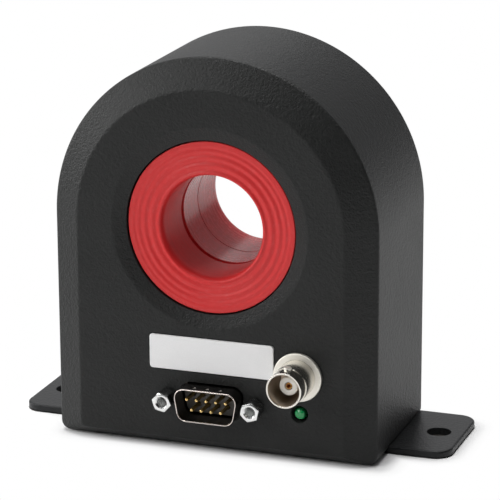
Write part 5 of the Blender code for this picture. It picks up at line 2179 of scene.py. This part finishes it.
@dataclass
class Studio:
    """Floor, surround, soft boxes and camera.

    The floor's stops say how white it is seen, by shares of the reach from the part; near the part they
    paint its shadow in, over the real shade of the lit floor.
    """

    floor_size: float = 2.2
    floor_drop: float = 0.00005
    floor_colour: Colour = (0.92, 0.92, 0.92)
    floor_roughness: float = 0.9
    painted_shadow_colour: Colour = (0.08, 0.075, 0.07)
    plate_corner: float = 0.005
    plate_factor: float = 1.4
    bevel_depth: float = 0.0045
    near_reach: float = 0.02
    contact_shadow_stops: tuple[Point, ...] = ((0.0, 0.0), (0.09, 0.135), (0.185, 0.55), (0.24, 0.82), (0.39, 1.0))
    wide_reach: float = 0.25
    reflected_shadow_stops: tuple[Point, ...] = ((0.0, 0.0), (0.25, 0.35), (1.0, 1.0))
    surround_low: Colour = (0.0, 0.0, 0.0)
    surround_high: Colour = (0.43, 0.43, 0.44)
    surround_side: Place = (-0.40, 0.80, 0.45)
    surround_end: float = 0.9
    camera_place: Place = (0.242759, -0.675982, 0.259129)
    camera_azimuth: float = 19.7185
    camera_elevation: float = 16.3486
    camera_roll: float = -0.2519
    camera_lens: float = 196.355
    sensor: float = 36.0
    soft_boxes: tuple[SoftBox, ...] = (
        SoftBox("box_key", (-0.77, -0.91, 0.73), 0.7, 0.7, 7.2),
        SoftBox("box_front", (0.07, -1.05, 0.92), 0.7, 0.5, 0.9),
        SoftBox("box_back", (-0.56, 1.05, 0.74), 0.9, 0.6, 1.2),
        SoftBox("box_top", (-0.10, 0.10, 1.40), 0.8, 0.8, 16.0),
        SoftBox("box_left", (-1.33, -0.14, 0.42), 0.6, 0.6, 7.6),
    )

    def _floor(self) -> None:
        """A pale floor that is seen white, with a painted shadow near the part and under its foot plate."""
        mesh_code = bmesh.new()
        square = rectangle(self.floor_size, self.floor_size)
        mesh_code.faces.new([mesh_code.verts.new((x, y, -self.floor_drop)) for x, y in square])
        floor = settle("studio_floor", mesh_code)
        material = bpy.data.materials.new("studio_floor")
        material.use_nodes = True
        board = Board(material.node_tree)
        housing, plate = Box.of("housing"), Box.of("base_plate")
        standing = Box(housing.low + Vector((0.0, self.bevel_depth, 0.0)), housing.high)
        body_reach = self._reach(board, standing, 0.0)
        plate_reach = self._reach(board, plate, self.plate_corner)
        nearest = board.number("MINIMUM", body_reach, plate_reach * self.plate_factor)
        # Painted shadow: the camera's white fades out near the part, and the lit floor's real shade shows
        # through.
        near = board.ramp(nearest * (1.0 / self.near_reach), *self.contact_shadow_stops)
        # Painted shadow in reflections: the white that mirrors see fades out near the part.
        wide = board.ramp(nearest * (1.0 / self.wide_reach), *self.reflected_shadow_stops)
        # Painted shadow: the floor under the foot plate is painted dark.
        colour = board.mix(plate_reach < 0.0, self.floor_colour, self.painted_shadow_colour)
        board.shade(Base_Color=colour, Roughness=self.floor_roughness, Specular_IOR_Level=0.0)
        lit = Signal(board, material.node_tree.nodes["Principled BSDF"].outputs[0])
        white = board.node("ShaderNodeEmission", values={"Color": (1.0, 1.0, 1.0, 1.0), "Strength": 1.0})
        seen = self._seen(board, near, wide)
        mixed = board.node("ShaderNodeMixShader", values={0: seen, 1: lit, 2: white})
        board.feed(material.node_tree.nodes["Material Output"].inputs["Surface"], mixed)
        floor.data.materials.append(material)

    @staticmethod
    def _reach(board: Board, box: Box, corner: float) -> Signal:
        """How far a point of the floor lies outside a box's outline.

        Args:
            board: The floor's board.
            box: The box.
            corner: The radius of the outline's corners.

        Returns:
            The distance in metres, negative inside.
        """
        half = (box.size.x / 2 - corner, box.size.y / 2 - corner, 1.0)
        across = board.vector("ABSOLUTE", board.vector("SUBTRACT", board.place(), (*box.centre.xy, 0.0)))
        over = board.vector("MAXIMUM", board.vector("SUBTRACT", across, half), (0.0, 0.0, 0.0))
        return board.vector("LENGTH", over, out="Value") - corner

    @staticmethod
    def _seen(board: Board, near: Signal, wide: Signal) -> Signal:
        """How white the floor is seen.

        Args:
            board: The floor's board.
            near: Its white for the camera, straight and through glass, which fades near the part into a
                painted shadow.
            wide: Its white in mirrors, which fades near the part into a painted shadow.

        Returns:
            The white for the ray at hand.
        """
        camera = board.node("ShaderNodeLightPath", out="Is Camera Ray") * near
        glossy = board.node("ShaderNodeLightPath", out="Is Glossy Ray") * wide
        through = board.node("ShaderNodeLightPath", out="Is Transmission Ray") * near
        return camera + glossy + through

    def _surround(self) -> None:
        """A white surround for the camera, and a graded one for light and reflections."""
        world = bpy.data.worlds.new("surround")
        world.use_nodes = True
        bpy.context.scene.world = world
        board = Board(world.node_tree)
        direction = board.node("ShaderNodeTexCoord", out="Generated")
        side = board.vector("DOT_PRODUCT", direction, self.surround_side, out="Value")
        share = board.ramp(side, (0.0, 0.0), (self.surround_end, 1.0))
        grade = board.mix(share, self.surround_low, self.surround_high)
        camera = board.node("ShaderNodeLightPath", out="Is Camera Ray")
        background = world.node_tree.nodes["Background"]
        board.feed(background.inputs["Color"], board.mix(camera, grade, (1.0, 1.0, 1.0)))

    def _camera(self) -> None:
        """The camera, where the photograph was taken from."""
        data = bpy.data.cameras.new("camera")
        data.lens = self.camera_lens
        data.sensor_width = self.sensor
        camera = bpy.data.objects.new("camera", data)
        placed = Matrix.Translation(self.camera_place)
        turns = ((self.camera_azimuth, "Z"), (90.0 - self.camera_elevation, "X"), (self.camera_roll, "Z"))
        for degrees, axis in turns:
            placed = placed @ Matrix.Rotation(math.radians(degrees), 4, axis)
        camera.matrix_world = placed
        bpy.context.scene.collection.objects.link(camera)
        bpy.context.scene.camera = camera

    def build(self) -> None:
        """Set up the studio."""
        bpy.context.scene.view_settings.view_transform = "Standard"
        self._floor()
        self._surround()
        for box in self.soft_boxes:
            box.build()
        self._camera()
        log.info("the studio is lit by %d soft boxes", len(self.soft_boxes))


def main() -> None:
    """Build every sub-assembly in order, then the studio."""
    logging.basicConfig(level=logging.INFO, format="%(name)s: %(message)s")
    body = Body.read()
    HousingShell(body).build()
    RearCover(body).build()
    FootPlate().build()
    BoreLining(body).build()
    Plug(body).build()
    Jack(body).build()
    Lamp(body).build()
    Badge(body).build()
    for node in COVER_SCREWS + BASE_SCREWS:
        CountersunkScrew(node).build()
    InnerWorks().build()
    Studio().build()


if __name__ == "__main__":
    main()
